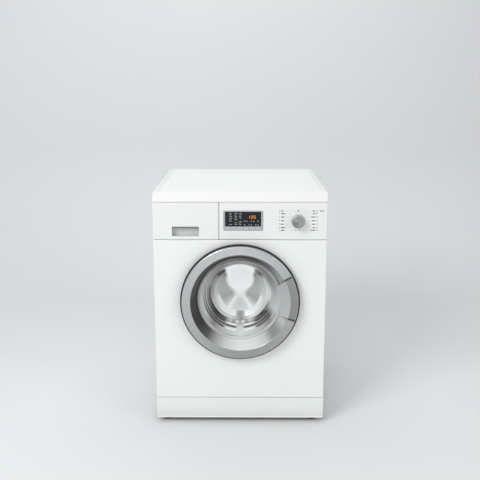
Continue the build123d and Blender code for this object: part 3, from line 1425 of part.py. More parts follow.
def mains_gland():
    """The gland for the mains lead: a threaded body, its nut and its cap."""
    body = rod_y(gland_x, gland_z, gland_r, rear_y - sheet - 8, rear_y + 14)
    for y in (rear_y, rear_y - sheet - gland_hex):
        nut = extrude(Plane.XZ.offset(-y) * RegularPolygon(gland_hex_r, 6), -gland_hex)
        body += Pos(gland_x, 0, gland_z) * nut
    return body - rod_y(gland_x, gland_z, gland_bore_r, rear_y - sheet - 9, rear_y + 15)


# Nodes

os.makedirs("parts", exist_ok=True)

save("side_panel_left", side_panel(-1))
save("side_panel_right", side_panel(1))
save("rear_panel", rear_panel())
save("rear_cover", rear_cover())
save("base_tray", base_tray())
save("inner_frame",
     channel(rail_y, plinth_top - 5, rail_height),
     channel(rail_y, fascia_bottom - 16, rail_height),
     channel(rail_y, housing_top + play, side_top - sheet - play - housing_top - play),
     channel(side_flange_y - rail_depth, side_top - sheet - play - 18, 18),
     spring_hanger(-1),
     spring_hanger(1))
save("front_panel", front_panel())
save("plinth", plinth())
save("worktop_frame", worktop_frame())
save("worktop_board", worktop_board())
save("feet", *[foot(x, y) for x, y in foot_places])
save("cabinet_screws",
     *[screw(x, rear_y, z) for x, z in rear_screws],
     *[screw(x, rear_y + sheet, z) for x, z in cover_screws])

save("fascia", fascia())
save("display_bezel", display_bezel())
save("display_window", display_window())
for number, key_x in enumerate(key_places, start=1):
    save(f"button_{number}", key(key_x))
save("control_board", control_board())
save("programme_knob", programme_knob())

save("drawer_front", drawer_front())
save("drawer_tray", drawer_tray())
save("dispenser_housing", dispenser_housing())
save("inlet_valve", *inlet_valve())

save("door_ring", door_ring())
save("door_back_shell", door_back_shell())
save("door_glass", door_glass())
save("hinge_bracket", *hinge_bracket())
save("hinge_leaf", hinge_leaf())
save("door_handle", door_handle())
save("door_hook", door_hook())
save("door_lock", door_lock())
save("bellows", bellows())

save("tub_front", tub_front())
save("tub_rear", tub_rear())
save("heater", heater())
save("front_weight", front_weight())
save("top_weight", top_weight())
save("bearings", *bearings())
save("drum_shell", drum_shell())
save("drum_lifters", *[drum_lifter(90 + i * 360 / lifter_count) for i in range(lifter_count)])
save("drum_spider", drum_spider())
save("drum_pulley", *drum_pulley())
save("drive_belt", drive_belt())
save("motor", motor())
save("motor_pulley", motor_pulley())
save("springs", spring(-1), spring(1))
save("damper_cylinders", *[damper_cylinder(x, y) for x, y in damper_places])
save("damper_rods", *[damper_rod(x, y) for x, y in damper_places])
save("dryer_duct", dryer_duct())
save("condenser", condenser())
save("fan_impeller", fan_impeller())
save("drain_pump", drain_pump())
save("filter_cap", filter_cap())
save("tub_hoses", sump_hose(), dose_hose())
save("drain_hose", *drain_hose())
save("mains_gland", mains_gland())
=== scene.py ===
import json
import math
from functools import partial

import bmesh
import bpy
from mathutils import Matrix, Vector

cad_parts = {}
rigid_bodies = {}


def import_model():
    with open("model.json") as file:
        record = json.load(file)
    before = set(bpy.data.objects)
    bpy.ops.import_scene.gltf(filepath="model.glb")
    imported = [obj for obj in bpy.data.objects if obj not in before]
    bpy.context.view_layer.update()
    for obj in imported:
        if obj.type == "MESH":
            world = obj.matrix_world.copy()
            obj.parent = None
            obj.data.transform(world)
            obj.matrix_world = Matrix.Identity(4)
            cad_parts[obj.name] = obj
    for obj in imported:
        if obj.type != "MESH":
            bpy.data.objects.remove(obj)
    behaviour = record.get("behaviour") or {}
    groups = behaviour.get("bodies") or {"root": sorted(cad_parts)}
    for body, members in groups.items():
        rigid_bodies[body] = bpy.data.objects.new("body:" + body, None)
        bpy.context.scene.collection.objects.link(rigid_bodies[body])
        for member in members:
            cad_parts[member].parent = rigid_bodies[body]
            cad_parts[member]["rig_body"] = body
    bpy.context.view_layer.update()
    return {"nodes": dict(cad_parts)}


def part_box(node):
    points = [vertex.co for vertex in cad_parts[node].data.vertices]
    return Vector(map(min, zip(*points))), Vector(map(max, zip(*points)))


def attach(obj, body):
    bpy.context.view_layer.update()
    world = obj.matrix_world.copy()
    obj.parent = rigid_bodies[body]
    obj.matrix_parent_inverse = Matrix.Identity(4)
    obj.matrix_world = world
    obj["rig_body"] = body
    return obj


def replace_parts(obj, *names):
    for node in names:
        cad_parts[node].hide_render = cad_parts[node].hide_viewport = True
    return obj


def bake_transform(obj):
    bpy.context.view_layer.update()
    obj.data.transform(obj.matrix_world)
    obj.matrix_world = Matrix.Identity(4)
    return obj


# A free-standing front-loading washer dryer, dressed piece by piece as it is put together.
# X is its width, Y its depth with the door towards -Y, and Z is up; all in metres.
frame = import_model()
nodes = frame["nodes"]

# Base: the grey moulded tray under the machine and its four levelling feet. The tray is
# fibre-filled polypropylene with a fine spark-eroded grain; each foot is a rubber pad
# moulded on a steel stud.


def put(socket, value):
    """Sets a socket to a value, or links it to the output of another node."""
    if isinstance(value, bpy.types.NodeSocket):
        socket.id_data.links.new(value, socket)
    else:
        socket.default_value = value


def node(tree, kind, **values):
    """A new node, a shader's by default; names with a capital are its inputs, others its settings."""
    made = tree.nodes.new(kind if "Node" in kind else "ShaderNode" + kind)
    for name, value in values.items():
        if name[0].isupper():
            put(made.inputs[name.replace("_", " ")], value)
        else:
            setattr(made, name, value)
    return made


def out(tree, kind, **values):
    """The output of a new node that shows only one."""
    return next(socket for socket in node(tree, kind, **values).outputs if socket.enabled)


def maths(tree, operation, a, b=0.0):
    """The result of one sum."""
    made = node(tree, "Math", operation=operation)
    put(made.inputs[0], a)
    put(made.inputs[1], b)
    return made.outputs[0]


def group(name, kind, given, wanted):
    """A node group and its end sockets, each named with its kind, or with a number as its default."""
    tree = bpy.data.node_groups.new(name, kind + "NodeTree")
    for way, sockets in (("INPUT", given), ("OUTPUT", wanted)):
        for title, value in sockets.items():
            number = isinstance(value, float)
            made = tree.interface.new_socket(title, in_out=way,
                                             socket_type="NodeSocket" + ("Float" if number else value))
            if number:
                made.default_value = value
    return tree, node(tree, "NodeGroupInput").outputs, node(tree, "NodeGroupOutput").inputs


def effect(draw, **sizes):
    """A node group in which draw turns a place on a surface into a Tone and a Height."""
    sizes = {name.replace("_", " "): size for name, size in sizes.items()}
    tree, given, wanted = group(draw.__name__, "Shader", {"Place": "Vector", **sizes}, {"Tone": 0.0, "Height": 0.0})
    for socket, value in zip(wanted, draw(tree, *[given[name] for name in ("Place", *sizes)])):
        put(socket, value)
    return tree


def noise(tree, place, size, detail=3, roughness=0.5):
    """Noise of a given size at a place."""
    scale = maths(tree, "DIVIDE", 1, size)
    return node(tree, "TexNoise", Vector=place, Scale=scale, Detail=detail, Roughness=roughness).outputs[0]


def moulded_grain(tree, place, grain_size, cloud_size):
    """The skin of a moulding: a fine grain from the tool and slow changes of tone."""
    return noise(tree, place, cloud_size, 4), noise(tree, place, grain_size, 2)


def finish(name, colour, roughness, look, size=None, tone=0.02, swing=0.04, relief=2e-5, stretch=None, **values):
    """A material whose colour, gloss and relief follow an effect, its finest detail of a given size."""
    material = bpy.data.materials.new(name)
    material.use_nodes = True
    tree = material.node_tree
    place = node(tree, "TexCoord").outputs["Object"]
    if stretch:
        place = out(tree, "Mapping", Vector=place, Scale=stretch)
    drawn = node(tree, "Group", node_tree=look, Place=place)
    if size:
        put(drawn.inputs[1], size)
    dark, light = [(*[min(1, c * (1 + side * tone)) for c in colour], 1) for side in (-1, 1)]
    shade = drawn.outputs["Tone"]
    values.update(Base_Color=out(tree, "Mix", data_type="RGBA", Factor=shade, A=dark, B=light),
                  Roughness=out(tree, "MapRange", Value=shade, To_Min=roughness - swing, To_Max=roughness + swing),
                  Normal=out(tree, "Bump", Strength=0.6, Distance=relief, Height=drawn.outputs["Height"]))
    for name, value in values.items():
        title = name.replace("_", " ")
        owner = drawn if title in drawn.inputs else tree.nodes["Principled BSDF"]
        put(owner.inputs[title], value)
    return material


def dress(material, name):
    """Gives a CAD node a finish."""
    for slot in nodes[name].material_slots:
        slot.material = material


def crease(mesh, angle=35, merge=None):
    """Marks the sharp edges of a mesh, so that the rest shade smoothly; merge joins close points first."""
    form = bmesh.new()
    form.from_mesh(mesh)
    if merge:
        bmesh.ops.remove_doubles(form, verts=form.verts, dist=merge)
    for edge in form.edges:
        edge.smooth = len(edge.link_faces) == 2 and edge.calc_face_angle(0) < math.radians(angle)
    form.to_mesh(mesh)
    form.free()
    return mesh


def add_object(name, data):
    """A new object in the scene."""
    made = bpy.data.objects.new(name, data)
    bpy.context.scene.collection.objects.link(made)
    return made


def new_piece(name, mesh, material, body=None, smooth=True):
    """A finished mesh as a piece that rides on a body."""
    for face in mesh.polygons:
        face.use_smooth = smooth
    mesh.materials.clear()
    mesh.materials.append(material)
    piece = add_object(name, mesh)
    if body:
        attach(piece, body)
    return piece


def skin(material, *names, angle=32, ends=None):
    """Each node's own shape as one merged skin, so that its round faces shade smoothly."""
    for name in names:
        mesh = nodes[name].data.copy()
        mesh.name = name + "_skin"
        piece = new_piece(name + "_skin", crease(mesh, angle, 2e-6), material)
        piece.modifiers.new("weighted", "WEIGHTED_NORMAL").keep_sharp = True
        if ends:
            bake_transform(piece)
        else:
            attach(piece, nodes[name]["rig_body"])
        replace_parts(piece, name)
    return piece


grain = effect(moulded_grain, Grain_size=0.0006, Cloud_size=0.08)
base_grey = finish("base_moulding", (0.115, 0.125, 0.13), 0.62, grain, 0.0009, relief=6e-5)
foot_rubber = finish("foot_rubber", (0.022, 0.022, 0.023), 0.72, grain, 0.0012, relief=8e-5)
dress(base_grey, "base_tray")
skin(foot_rubber, "feet")

# Cabinet: two side panels of deep-drawn steel, folded at every edge, and the galvanised
# frame between them. The sides are stove enamelled white, which leaves a faint orange
# peel; the rails keep the bright spangle of the zinc.


def enamel_peel(tree, place, ripple_size, cloud_size):
    """Stove enamel: a soft ripple a few millimetres long under a smooth gloss."""
    return noise(tree, place, cloud_size), noise(tree, place, ripple_size, 1, 0.3)


def cells(tree, place, size):
    """Cells of a given size at a place."""
    return node(tree, "TexVoronoi", Vector=place, Scale=maths(tree, "DIVIDE", 1, size)).outputs


def zinc_spangle(tree, place, crystal_size, scratch_size):
    """Hot-dip zinc: flat crystals that each catch the light in their own way."""
    crystals = node(tree, "SeparateColor", Color=cells(tree, place, crystal_size)["Color"])
    return crystals.outputs["Red"], noise(tree, place, scratch_size, 4)


peel = effect(enamel_peel, Ripple_size=0.003, Cloud_size=0.2)
spangle = effect(zinc_spangle, Crystal_size=0.014, Scratch_size=0.002)
cabinet_white = finish("cabinet_enamel", (0.86, 0.864, 0.863), 0.3, peel, 0.0035, tone=0.006, swing=0.03,
    relief=8e-6, Coat_Weight=0.25, Coat_Roughness=0.12)
zinc = finish("galvanised_steel", (0.5, 0.52, 0.53), 0.42, spangle, 0.016, tone=0.1, swing=0.09, relief=1e-5,
    Metallic=0.85)
skin(cabinet_white, "side_panel_left", "side_panel_right")
dress(zinc, "inner_frame")

# Suspension: two coil springs of drawn wire hang the tub from the side panels, and four
# friction dampers stand between it and the base. The springs are coiled cold and oiled;
# each damper is a black nylon cylinder with a bright rod.


def drawn_wire(tree, place, line_spacing, film_size):
    """Drawn or ground steel: fine lines along the work and a darker film of oil."""
    return noise(tree, place, film_size, 4), noise(tree, place, line_spacing, 2)


def evaluated(holder):
    """The mesh of an object as its modifiers leave it; the object itself is removed."""
    bpy.context.view_layer.update()
    mesh = bpy.data.meshes.new_from_object(holder.evaluated_get(bpy.context.evaluated_depsgraph_get()))
    bpy.data.objects.remove(holder)
    return mesh


def wire(name, points, radius):
    """A round wire along points, as a mesh."""
    line = bpy.data.curves.new(name, "CURVE")
    line.dimensions = "3D"
    line.bevel_depth = radius
    line.bevel_resolution = 2
    line.use_fill_caps = True
    spline = line.splines.new("POLY")
    spline.points.add(len(points) - 1)
    for point, place in zip(spline.points, points):
        point.co = (*place, 1)
    return evaluated(add_object(name, line))


def coil(x, y, low, high, radius, turns, steps=20):
    """The line of a tension spring: a hook, the coils and the other hook."""
    count = turns * steps
    rise = (high - low) * 0.78
    start = low + (high - low) * 0.11
    line = [(x, y, low), (x + radius * 0.5, y, low + (start - low) * 0.4)]
    for i in range(count + 1):
        turn = 2 * math.pi * i / steps
        line.append((x + radius * math.cos(turn), y + radius * math.sin(turn), start + rise * i / count))
    return line + [(x + radius * 0.5, y, high - (start - low) * 0.4), (x, y, high)]


steel_lines = effect(drawn_wire, Line_spacing=0.0004, Film_size=0.02)
spring_steel = finish("spring_wire", (0.3, 0.31, 0.32), 0.34, steel_lines, 0.0006, tone=0.08, Metallic=1)
bright_steel = finish("bright_steel", (0.46, 0.47, 0.48), 0.28, steel_lines, 0.0005, tone=0.06, Metallic=1)
black_moulding = finish("black_moulding", (0.02, 0.021, 0.022), 0.48, grain, 0.0007, relief=4e-5)
spring_low, spring_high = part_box("springs")
spring_y = (spring_low.y + spring_high.y) / 2
for side, name in ((-1, "spring_left"), (1, "spring_right")):
    x = side * (spring_high.x - 0.012)
    line = coil(x, spring_y, spring_low.z + 0.001, spring_high.z - 0.001, radius=0.0095, turns=16)
    spring = new_piece(name, wire(name, line, 0.0018), spring_steel)
    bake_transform(spring)
    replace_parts(spring, "springs")
skin(black_moulding, "damper_cylinders")
skin(bright_steel, "damper_rods")

# Tub: two halves of pale filled polypropylene, bolted at their flanges, with the heater in
# the sump and two cast concrete weights. The concrete is grey with small air pores.


def cast_skin(tree, place, grain_size, cloud_size, pore_size):
    """A casting's skin: rough grain with scattered pores."""
    pores = out(tree, "MapRange", Value=cells(tree, place, pore_size)["Distance"], From_Min=0.1, From_Max=0.22)
    rough = noise(tree, place, grain_size, 4, 0.6)
    return noise(tree, place, cloud_size, 5, 0.6), maths(tree, "MULTIPLY", pores, rough)


cast = effect(cast_skin, Grain_size=0.003, Cloud_size=0.03, Pore_size=0.007)
tub_plastic = finish("tub_moulding", (0.42, 0.43, 0.42), 0.5, grain, 0.0014, Cloud_size=0.05, tone=0.06,
    relief=8e-5)
concrete = finish("cast_concrete", (0.3, 0.295, 0.28), 0.86, cast, tone=0.18, relief=0.0008)
skin(tub_plastic, "tub_front", "tub_rear")
skin(concrete, "front_weight", "top_weight")
skin(bright_steel, "heater", "bearings")

# Drum: a cylinder of stainless steel, its wall punched with rows of small holes, its back
# pressed into a three-armed star that stiffens it over the spider. The steel is brushed
# round the drum; three moulded lifters clip on inside, and the spider is cast aluminium.


def brushed_sheet(tree, place, line_spacing, stain_size):
    """Brushed sheet: short lines one way, and the soft stains of handling."""
    lines = noise(tree, place, line_spacing, 3, 0.7)
    return out(tree, "Mix", Factor=0.35, A=lines, B=noise(tree, place, stain_size)), lines


def polar_place():
    """Where a place lies round an axis along Y: its share of a turn from +X to +Z, and its radius."""
    tree, given, wanted = group("polar_place", "Shader", {"Place": "Vector", "Axis across": 0.0, "Axis height": 0.0},
                                {"Turn": 0.0, "Radius": 0.0})
    calc = partial(maths, tree)
    apart = node(tree, "SeparateXYZ", Vector=given["Place"]).outputs
    across = calc("SUBTRACT", apart["X"], given["Axis across"])
    up = calc("SUBTRACT", apart["Z"], given["Axis height"])
    share = calc("DIVIDE", calc("ARCTAN2", up, across), 2 * math.pi)
    put(wanted["Turn"], calc("FRACT", calc("ADD", share, 1.0)))
    square = calc("ADD", calc("MULTIPLY", across, across), calc("MULTIPLY", up, up))
    put(wanted["Radius"], calc("SQRT", square))
    return tree


def strips(form, rings, closed=False):
    """Joins each ring of points to the next with faces, and the last to the first if closed."""
    for here, there in zip(rings, rings[1:] + rings[:1] if closed else rings[1:]):
        for k in range(len(here)):
            j = (k + 1) % len(here)
            form.faces.new((here[k], here[j], there[j], there[k]))


def as_mesh(name, form, outwards=False):
    """A bmesh as a mesh, with its faces turned outwards if wanted."""
    if outwards:
        bmesh.ops.recalc_face_normals(form, faces=form.faces)
    mesh = bpy.data.meshes.new(name)
    form.to_mesh(mesh)
    form.free()
    return mesh


def circle(radius, count):
    """Points evenly round a circle."""
    angles = [2 * math.pi * k / count for k in range(count)]
    return [(radius * math.cos(angle), radius * math.sin(angle)) for angle in angles]


def rounded(outline, steps=6):
    """An outline of (radius, y, rounding) corners with its corners turned into arcs."""
    corners = [Vector(row[:2]) for row in outline]
    points = []
    for i, corner in enumerate(corners):
        radius = outline[i][2]
        if radius == 0:
            points.append(corner)
            continue
        before = (corners[i - 1] - corner).normalized()
        after = (corners[(i + 1) % len(corners)] - corner).normalized()
        half = before.angle(after) / 2
        centre = corner + (before + after).normalized() * radius / math.sin(half)
        start = corner + before * radius / math.tan(half) - centre
        end = corner + after * radius / math.tan(half) - centre
        turn = math.atan2(start.x * end.y - start.y * end.x, start.dot(end))
        points += [centre + Matrix.Rotation(turn * k / steps, 2) @ start for k in range(steps + 1)]
    return points


def turned(name, corners, segments=180, axis_z=None):
    """A mesh turned about an axis along Y, from (radius, y) corners."""
    height = door_z if axis_z is None else axis_z
    form = bmesh.new()
    rings = [[form.verts.new((r * across, y, height + r * up)) for r, y in corners]
             for across, up in circle(1, segments)]
    strips(form, rings, True)
    bmesh.ops.remove_doubles(form, verts=form.verts, dist=1e-5)
    return as_mesh(name, form, True)


def hole_cell(pitch, radius, wall):
    """One slanted cell of punched sheet: both faces and the wall of its hole."""
    half = pitch / 2
    square = ((1, 0), (1, 1), (0, 1), (-1, 1), (-1, 0), (-1, -1), (0, -1), (1, -1))
    form = bmesh.new()
    outer, inner = [], []
    for depth in (0, wall):
        outer.append([form.verts.new((half * (x + y / 2), half * y, depth)) for x, y in square])
        inner.append([form.verts.new((x, y, depth)) for x, y in circle(radius, len(square))])
    for rings in ((inner[0], outer[0]), (outer[1], inner[1]), inner):
        strips(form, rings)
    return as_mesh("hole_cell", form)


def punched_wall():
    """Repeats a cell of sheet in slanted rows and bends them round into a drum."""
    tree, given, wanted = group(
        "punched_wall", "Geometry",
        {"Geometry": "Geometry", "Radius": 0.0, "Pitch": 0.0, "Front": 0.0, "Holes round": "Int", "Rows": "Int",
         "Finish": "Material"}, {"Geometry": "Geometry"})
    calc = partial(maths, tree)
    number = out(tree, "GeometryNodeInputIndex")
    row = calc("FLOOR", calc("DIVIDE", number, given["Holes round"]))
    column = calc("SUBTRACT", number, calc("MULTIPLY", row, given["Holes round"]))
    along = calc("MULTIPLY", calc("ADD", column, calc("MULTIPLY", row, 0.5)), given["Pitch"])
    spot = out(tree, "CombineXYZ", X=along, Y=calc("MULTIPLY", row, given["Pitch"]))
    count = calc("MULTIPLY", given["Holes round"], given["Rows"])
    points = out(tree, "GeometryNodePoints", Count=count, Position=spot)
    copies = out(tree, "GeometryNodeInstanceOnPoints", Points=points, Instance=given["Geometry"])
    real = out(tree, "GeometryNodeRealizeInstances", Geometry=copies)
    flat = node(tree, "SeparateXYZ", Vector=out(tree, "GeometryNodeInputPosition")).outputs
    angle = calc("DIVIDE", flat["X"], given["Radius"])
    radius = calc("ADD", given["Radius"], flat["Z"])
    bent = out(tree, "CombineXYZ", X=calc("MULTIPLY", calc("COSINE", angle), radius),
               Y=calc("ADD", flat["Y"], given["Front"]), Z=calc("MULTIPLY", calc("SINE", angle), radius))
    bend = out(tree, "GeometryNodeSetPosition", Geometry=real, Position=bent)
    merged = out(tree, "GeometryNodeMergeByDistance", Geometry=bend, Distance=0.0002)
    put(wanted[0], out(tree, "GeometryNodeSetMaterial", Geometry=merged, Material=given["Finish"]))
    return tree


def grow(name, mesh, tree, **sizes):
    """A mesh grown from a base mesh by a node tree with the given sizes."""
    holder = add_object(name, mesh)
    modifier = holder.modifiers.new(name, "NODES")
    modifier.node_group = tree
    for item in tree.interface.items_tree:
        if item.in_out == "INPUT" and item.name.replace(" ", "_") in sizes:
            modifier[item.identifier] = sizes[item.name.replace(" ", "_")]
    grown = evaluated(holder)
    grown.name = name
    return grown


def clamp(value):
    """A value kept between 0 and 1."""
    return min(1, max(0, value))


def eased(value):
    """A value between 0 and 1 that starts and ends softly."""
    return value * value * (3 - 2 * value)


def pressed_back(radius, y, sheet, rings=44, spokes=180):
    """The drum's back: a disc pressed into three broad arms, with its rear face."""
    form = bmesh.new()
    pressing = 0.0075
    sides = []
    for offset in (0, sheet):
        rows = []
        for i in range(rings + 1):
            r = radius * i / rings
            reach = clamp((r - 0.02) / 0.03) * clamp((radius * 0.94 - r) / 0.03)
            arm = 21 - 7.2 * (r / radius) ** 2
            row = []
            for across, up in circle(r, spokes)[:spokes if i else 1]:
                off_arm = abs((math.degrees(math.atan2(up, across)) - 30) % 120 - 60)
                soft = eased(clamp((off_arm - arm) / 14)) * eased(reach)
                row.append(form.verts.new((across, y + offset + pressing * (soft - 1) * reach, door_z + up)))
            rows.append(row)
        sides.append(rows)
    for rows, front in zip(sides, (True, False)):
        strips(form, rows[:0:-1] if front else rows[1:])
        for k in range(spokes):
            fan = (rows[0][0], rows[1][(k + 1) % spokes], rows[1][k])
            form.faces.new(fan if front else fan[::-1])
    strips(form, [rows[-1] for rows in sides])
    return as_mesh("drum_back", form, True)


def lifter(angle, radius, low_y, high_y, height=0.058, stations=24):
    """A lifter: a hollow-looking ridge along the drum, rounded at both its ends."""
    form = bmesh.new()
    cos, sin = math.cos(angle), math.sin(angle)
    half = [(0.032, 0), (0.026, 0.22), (0.0165, 0.66), (0.0115, 0.92), (0.006, 1)]
    section = [(-across, up) for across, up in half] + half[::-1]
    rows = []
    for i in range(stations + 1):
        share = 2 * i / stations - 1
        swell = max(0.02, 1 - abs(share) ** 6) ** 0.5
        y = (low_y + high_y) / 2 + (high_y - low_y) / 2 * share
        row = []
        for across, up in section:
            width = across * (0.55 + 0.45 * swell)
            reach = math.sqrt(radius ** 2 - width ** 2) - height * (0.35 + 0.65 * swell) * up
            row.append(form.verts.new((reach * cos - width * sin, y, door_z + reach * sin + width * cos)))
        rows.append(row)
    strips(form, rows)
    form.faces.new(rows[0])
    form.faces.new(rows[-1])
    return as_mesh("drum_lifter", form, True)


door_low, door_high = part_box("door_ring")
door_z = (door_low.z + door_high.z) / 2
drum_low, drum_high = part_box("drum_shell")
drum_r = (drum_high.x - drum_low.x) / 2
sheet = 0.0012
inner_r = drum_r - sheet
mouth_r = 0.156
drum_steel = finish("drum_steel", (0.62, 0.63, 0.64), 0.24,
    effect(brushed_sheet, Line_spacing=0.0008, Stain_size=0.05), 0.0012, tone=0.05, swing=0.05, relief=1e-5,
    Metallic=1, stretch=(1, 0.12, 1))
lifter_grey = finish("lifter_moulding", (0.74, 0.75, 0.755), 0.36, grain, 0.0007, relief=3e-5)
cast_metal = finish("cast_aluminium", (0.47, 0.48, 0.49), 0.46, cast, Pore_size=0.004, tone=0.06, Metallic=0.9,
    relief=0.0001)
front_y, back_y = drum_low.y, drum_high.y
wall_front = front_y + 0.02
wall_back = back_y - 0.01
holes_round = 78
hole_pitch = 2 * math.pi * inner_r / holes_round
hole_rows = int((wall_back - wall_front) / hole_pitch)
first_row = (wall_front + wall_back) / 2 - (hole_rows - 1) / 2 * hole_pitch
wall = grow("drum_wall", hole_cell(hole_pitch, 0.0019, sheet), punched_wall(), Radius=inner_r, Pitch=hole_pitch,
            Front=first_row, Holes_round=holes_round, Rows=hole_rows, Finish=drum_steel)
wall.transform(Matrix.Translation((0, 0, door_z)))
drum_wall = new_piece("drum_wall", crease(wall, 40), drum_steel, "drum")
wall_start = first_row - hole_pitch / 2
wall_end = first_row + (hole_rows - 0.5) * hole_pitch
mouth = turned("drum_mouth", rounded([
    (mouth_r, front_y, 0.0004), (mouth_r + sheet, front_y, 0.0004), (mouth_r + sheet, front_y + 0.004, 0.003),
    (drum_r, front_y + 0.004, 0.012), (drum_r, wall_start, 0), (inner_r, wall_start, 0),
    (inner_r, front_y + 0.0052, 0.0108), (mouth_r, front_y + 0.0052, 0.004)]))
rim = turned("drum_rim", rounded([
    (inner_r, wall_end, 0), (drum_r, wall_end, 0), (drum_r, back_y, 0.01), (drum_r * 0.93, back_y, 0),
    (drum_r * 0.93, back_y - sheet, 0), (inner_r, back_y - sheet, 0.0088)]))
back = pressed_back(drum_r * 0.945, back_y - sheet - 0.0001, sheet)
for mesh in (mouth, rim, back):
    new_piece(mesh.name, crease(mesh), drum_steel, "drum")
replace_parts(drum_wall, "drum_shell")
lifter_low, lifter_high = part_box("drum_lifters")
for i in range(3):
    ridge = lifter(math.radians(90 + 120 * i), inner_r - 0.0004, lifter_low.y, lifter_high.y)
    paddle = new_piece(f"drum_lifter_{i + 1}", crease(ridge, 50), lifter_grey, "drum")
    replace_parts(paddle, "drum_lifters")
skin(cast_metal, "drum_spider", "drum_pulley")

# Drive: the belt turns the drum from the motor behind the sump. Motor cans are rolled steel,
# their laminations show between the end shields, and the belt is black ribbed rubber.


def can_skin(tree, place, sheet_thickness, stain_size):
    """Stacked laminations: fine lines across a shaft that lies along Y, darkened by varnish."""
    along = node(tree, "SeparateXYZ", Vector=place).outputs["Y"]
    sheets = maths(tree, "MULTIPLY", along, maths(tree, "DIVIDE", 1, sheet_thickness))
    return noise(tree, place, stain_size, 4), maths(tree, "PINGPONG", sheets, 1)


laminations = effect(can_skin, Sheet_thickness=0.0008, Stain_size=0.03)
motor_steel = finish("motor_can", (0.25, 0.255, 0.26), 0.4, laminations, 0.001, tone=0.12, Metallic=0.8,
    relief=0.0001)
belt_rubber = finish("belt_rubber", (0.018, 0.018, 0.019), 0.7, laminations, 0.0023, relief=0.0002)
skin(motor_steel, "motor")
skin(bright_steel, "motor_pulley")
skin(belt_rubber, "drive_belt")

# Dryer: a moulded duct over the tub carries the air from the condenser past the fan and
# its heater; the condenser is a bundle of flat channels in the same grey moulding.
duct_grey = finish("duct_moulding", (0.3, 0.31, 0.315), 0.55, grain, 0.0011, tone=0.04, relief=7e-5)
skin(duct_grey, "dryer_duct", "condenser")
skin(cast_metal, "fan_impeller")

# Water: the drain pump and its filter cap low at the front, the rubber hoses between the
# dispenser, the tub and the pump, the inner drain hose and the inlet valve. Hoses are
# black extruded rubber; the pump and the cap are mouldings.


def span(places):
    """The corners of the box round some places."""
    return [Vector([pick(place[i] for place in places) for i in range(3)]) for pick in (min, max)]


def bent_line(corners, bend, steps=12):
    """A line along straight runs joined by square bends."""
    corners = [Vector(corner) for corner in corners]
    line = [corners[0]]
    for before, corner, after in zip(corners, corners[1:], corners[2:]):
        inwards = (before - corner).normalized()
        onwards = (after - corner).normalized()
        for i in range(steps + 1):
            turn = math.pi / 2 * i / steps
            line.append(corner + (inwards * (1 - math.sin(turn)) + onwards * (1 - math.cos(turn))) * bend)
    return line + [corners[-1]]


def ribbed(name, line, radius, rib=0.0022, pitch=0.007, cuff=0.024, step=0.0012, sides=24):
    """A corrugated hose along a line, with a plain cuff at each end."""
    total = sum((b - a).length for a, b in zip(line, line[1:]))
    form = bmesh.new()
    rings = []
    travelled = 0
    heading = facing = None
    for a, b in zip(line, line[1:]):
        along = (b - a).normalized()
        facing = heading.rotation_difference(along) @ facing if heading else along.to_track_quat("Z", "X")
        heading = along
        count = max(1, round((b - a).length / step))
        for i in range(count + (b is line[-1])):
            gone = travelled + (b - a).length * i / count
            inside = clamp((min(gone, total - gone) - cuff) / 0.004)
            size = radius - rib * inside * (0.5 - 0.5 * math.cos(2 * math.pi * (gone - cuff) / pitch))
            centre = a + along * (gone - travelled)
            rings.append([form.verts.new(centre + facing @ Vector((x, y, 0))) for x, y in circle(size, sides)])
        travelled += (b - a).length
    strips(form, rings)
    form.faces.new(rings[0][::-1])
    form.faces.new(rings[-1])
    return as_mesh(name, form)


hose_rubber = finish("hose_rubber", (0.03, 0.03, 0.031), 0.6, grain, 0.001, relief=5e-5)
pump_plastic = finish("pump_moulding", (0.075, 0.08, 0.085), 0.5, grain, 0.001, relief=6e-5)
valve_plastic = finish("valve_moulding", (0.62, 0.63, 0.62), 0.45, grain, 0.0009, relief=5e-5)
skin(pump_plastic, "drain_pump")
skin(base_grey, "filter_cap")
skin(hose_rubber, "drain_hose")
skin(valve_plastic, "inlet_valve")
hose_places = [vertex.co for vertex in nodes["tub_hoses"].data.vertices]
dose_low, dose_high = span([place for place in hose_places if place.x < -0.1])
dose_xy = ((dose_low + dose_high) / 2).xy
dose_r = (dose_high.x - dose_low.x) / 2
dose_line = [Vector((*dose_xy, z)) for z in (dose_high.z, dose_low.z)]
sump_low, sump_high = span([place for place in hose_places if place.x > -0.1])
sump_r = 0.0215
near_x, near_y, low_z = (corner + sump_r for corner in sump_low)
far_y = sump_high.y - sump_r
sump_line = bent_line(((near_x, far_y, sump_high.z), (near_x, far_y, low_z), (near_x, near_y, low_z),
                       (sump_high.x, near_y, low_z)), bend=0.046)
for name, line, radius, start, end in (
        ("dose_hose", dose_line, dose_r, (*dose_xy, dose_high.z - 0.02), (*dose_xy, dose_low.z + 0.03)),
        ("sump_hose", sump_line, sump_r, (near_x, far_y, low_z + 0.03), (near_x, far_y, sump_high.z - 0.02))):
    hose = new_piece(name, ribbed(name, line, radius), hose_rubber)
    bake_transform(hose)
    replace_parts(hose, "tub_hoses")
for name, (x, y, z), radius, body in (
        ("dose_clip_top", (*dose_xy, dose_high.z - 0.01), dose_r, "cabinet"),
        ("dose_clip_low", (*dose_xy, dose_low.z + 0.01), dose_r, "tub"),
        ("sump_clip_top", (near_x, far_y, sump_high.z - 0.01), sump_r, "tub"),
        ("pump_clip", (sump_high.x - 0.01, near_y, low_z), sump_r, "cabinet")):
    turns = circle(radius + 0.0008, 40)
    line = [(x, y + a, z + b) if name == "pump_clip" else (x + a, y + b, z) for a, b in turns + turns[:1]]
    new_piece(name, wire(name, line, 0.0011), bright_steel, body)

# Back: the galvanised rear panel with its vents, the pressed cover over the drive belt, the
# gland of the mains lead and the screws. The screws are zinc-plated pan heads.
skin(zinc, "rear_panel", "rear_cover")
skin(black_moulding, "mains_gland")


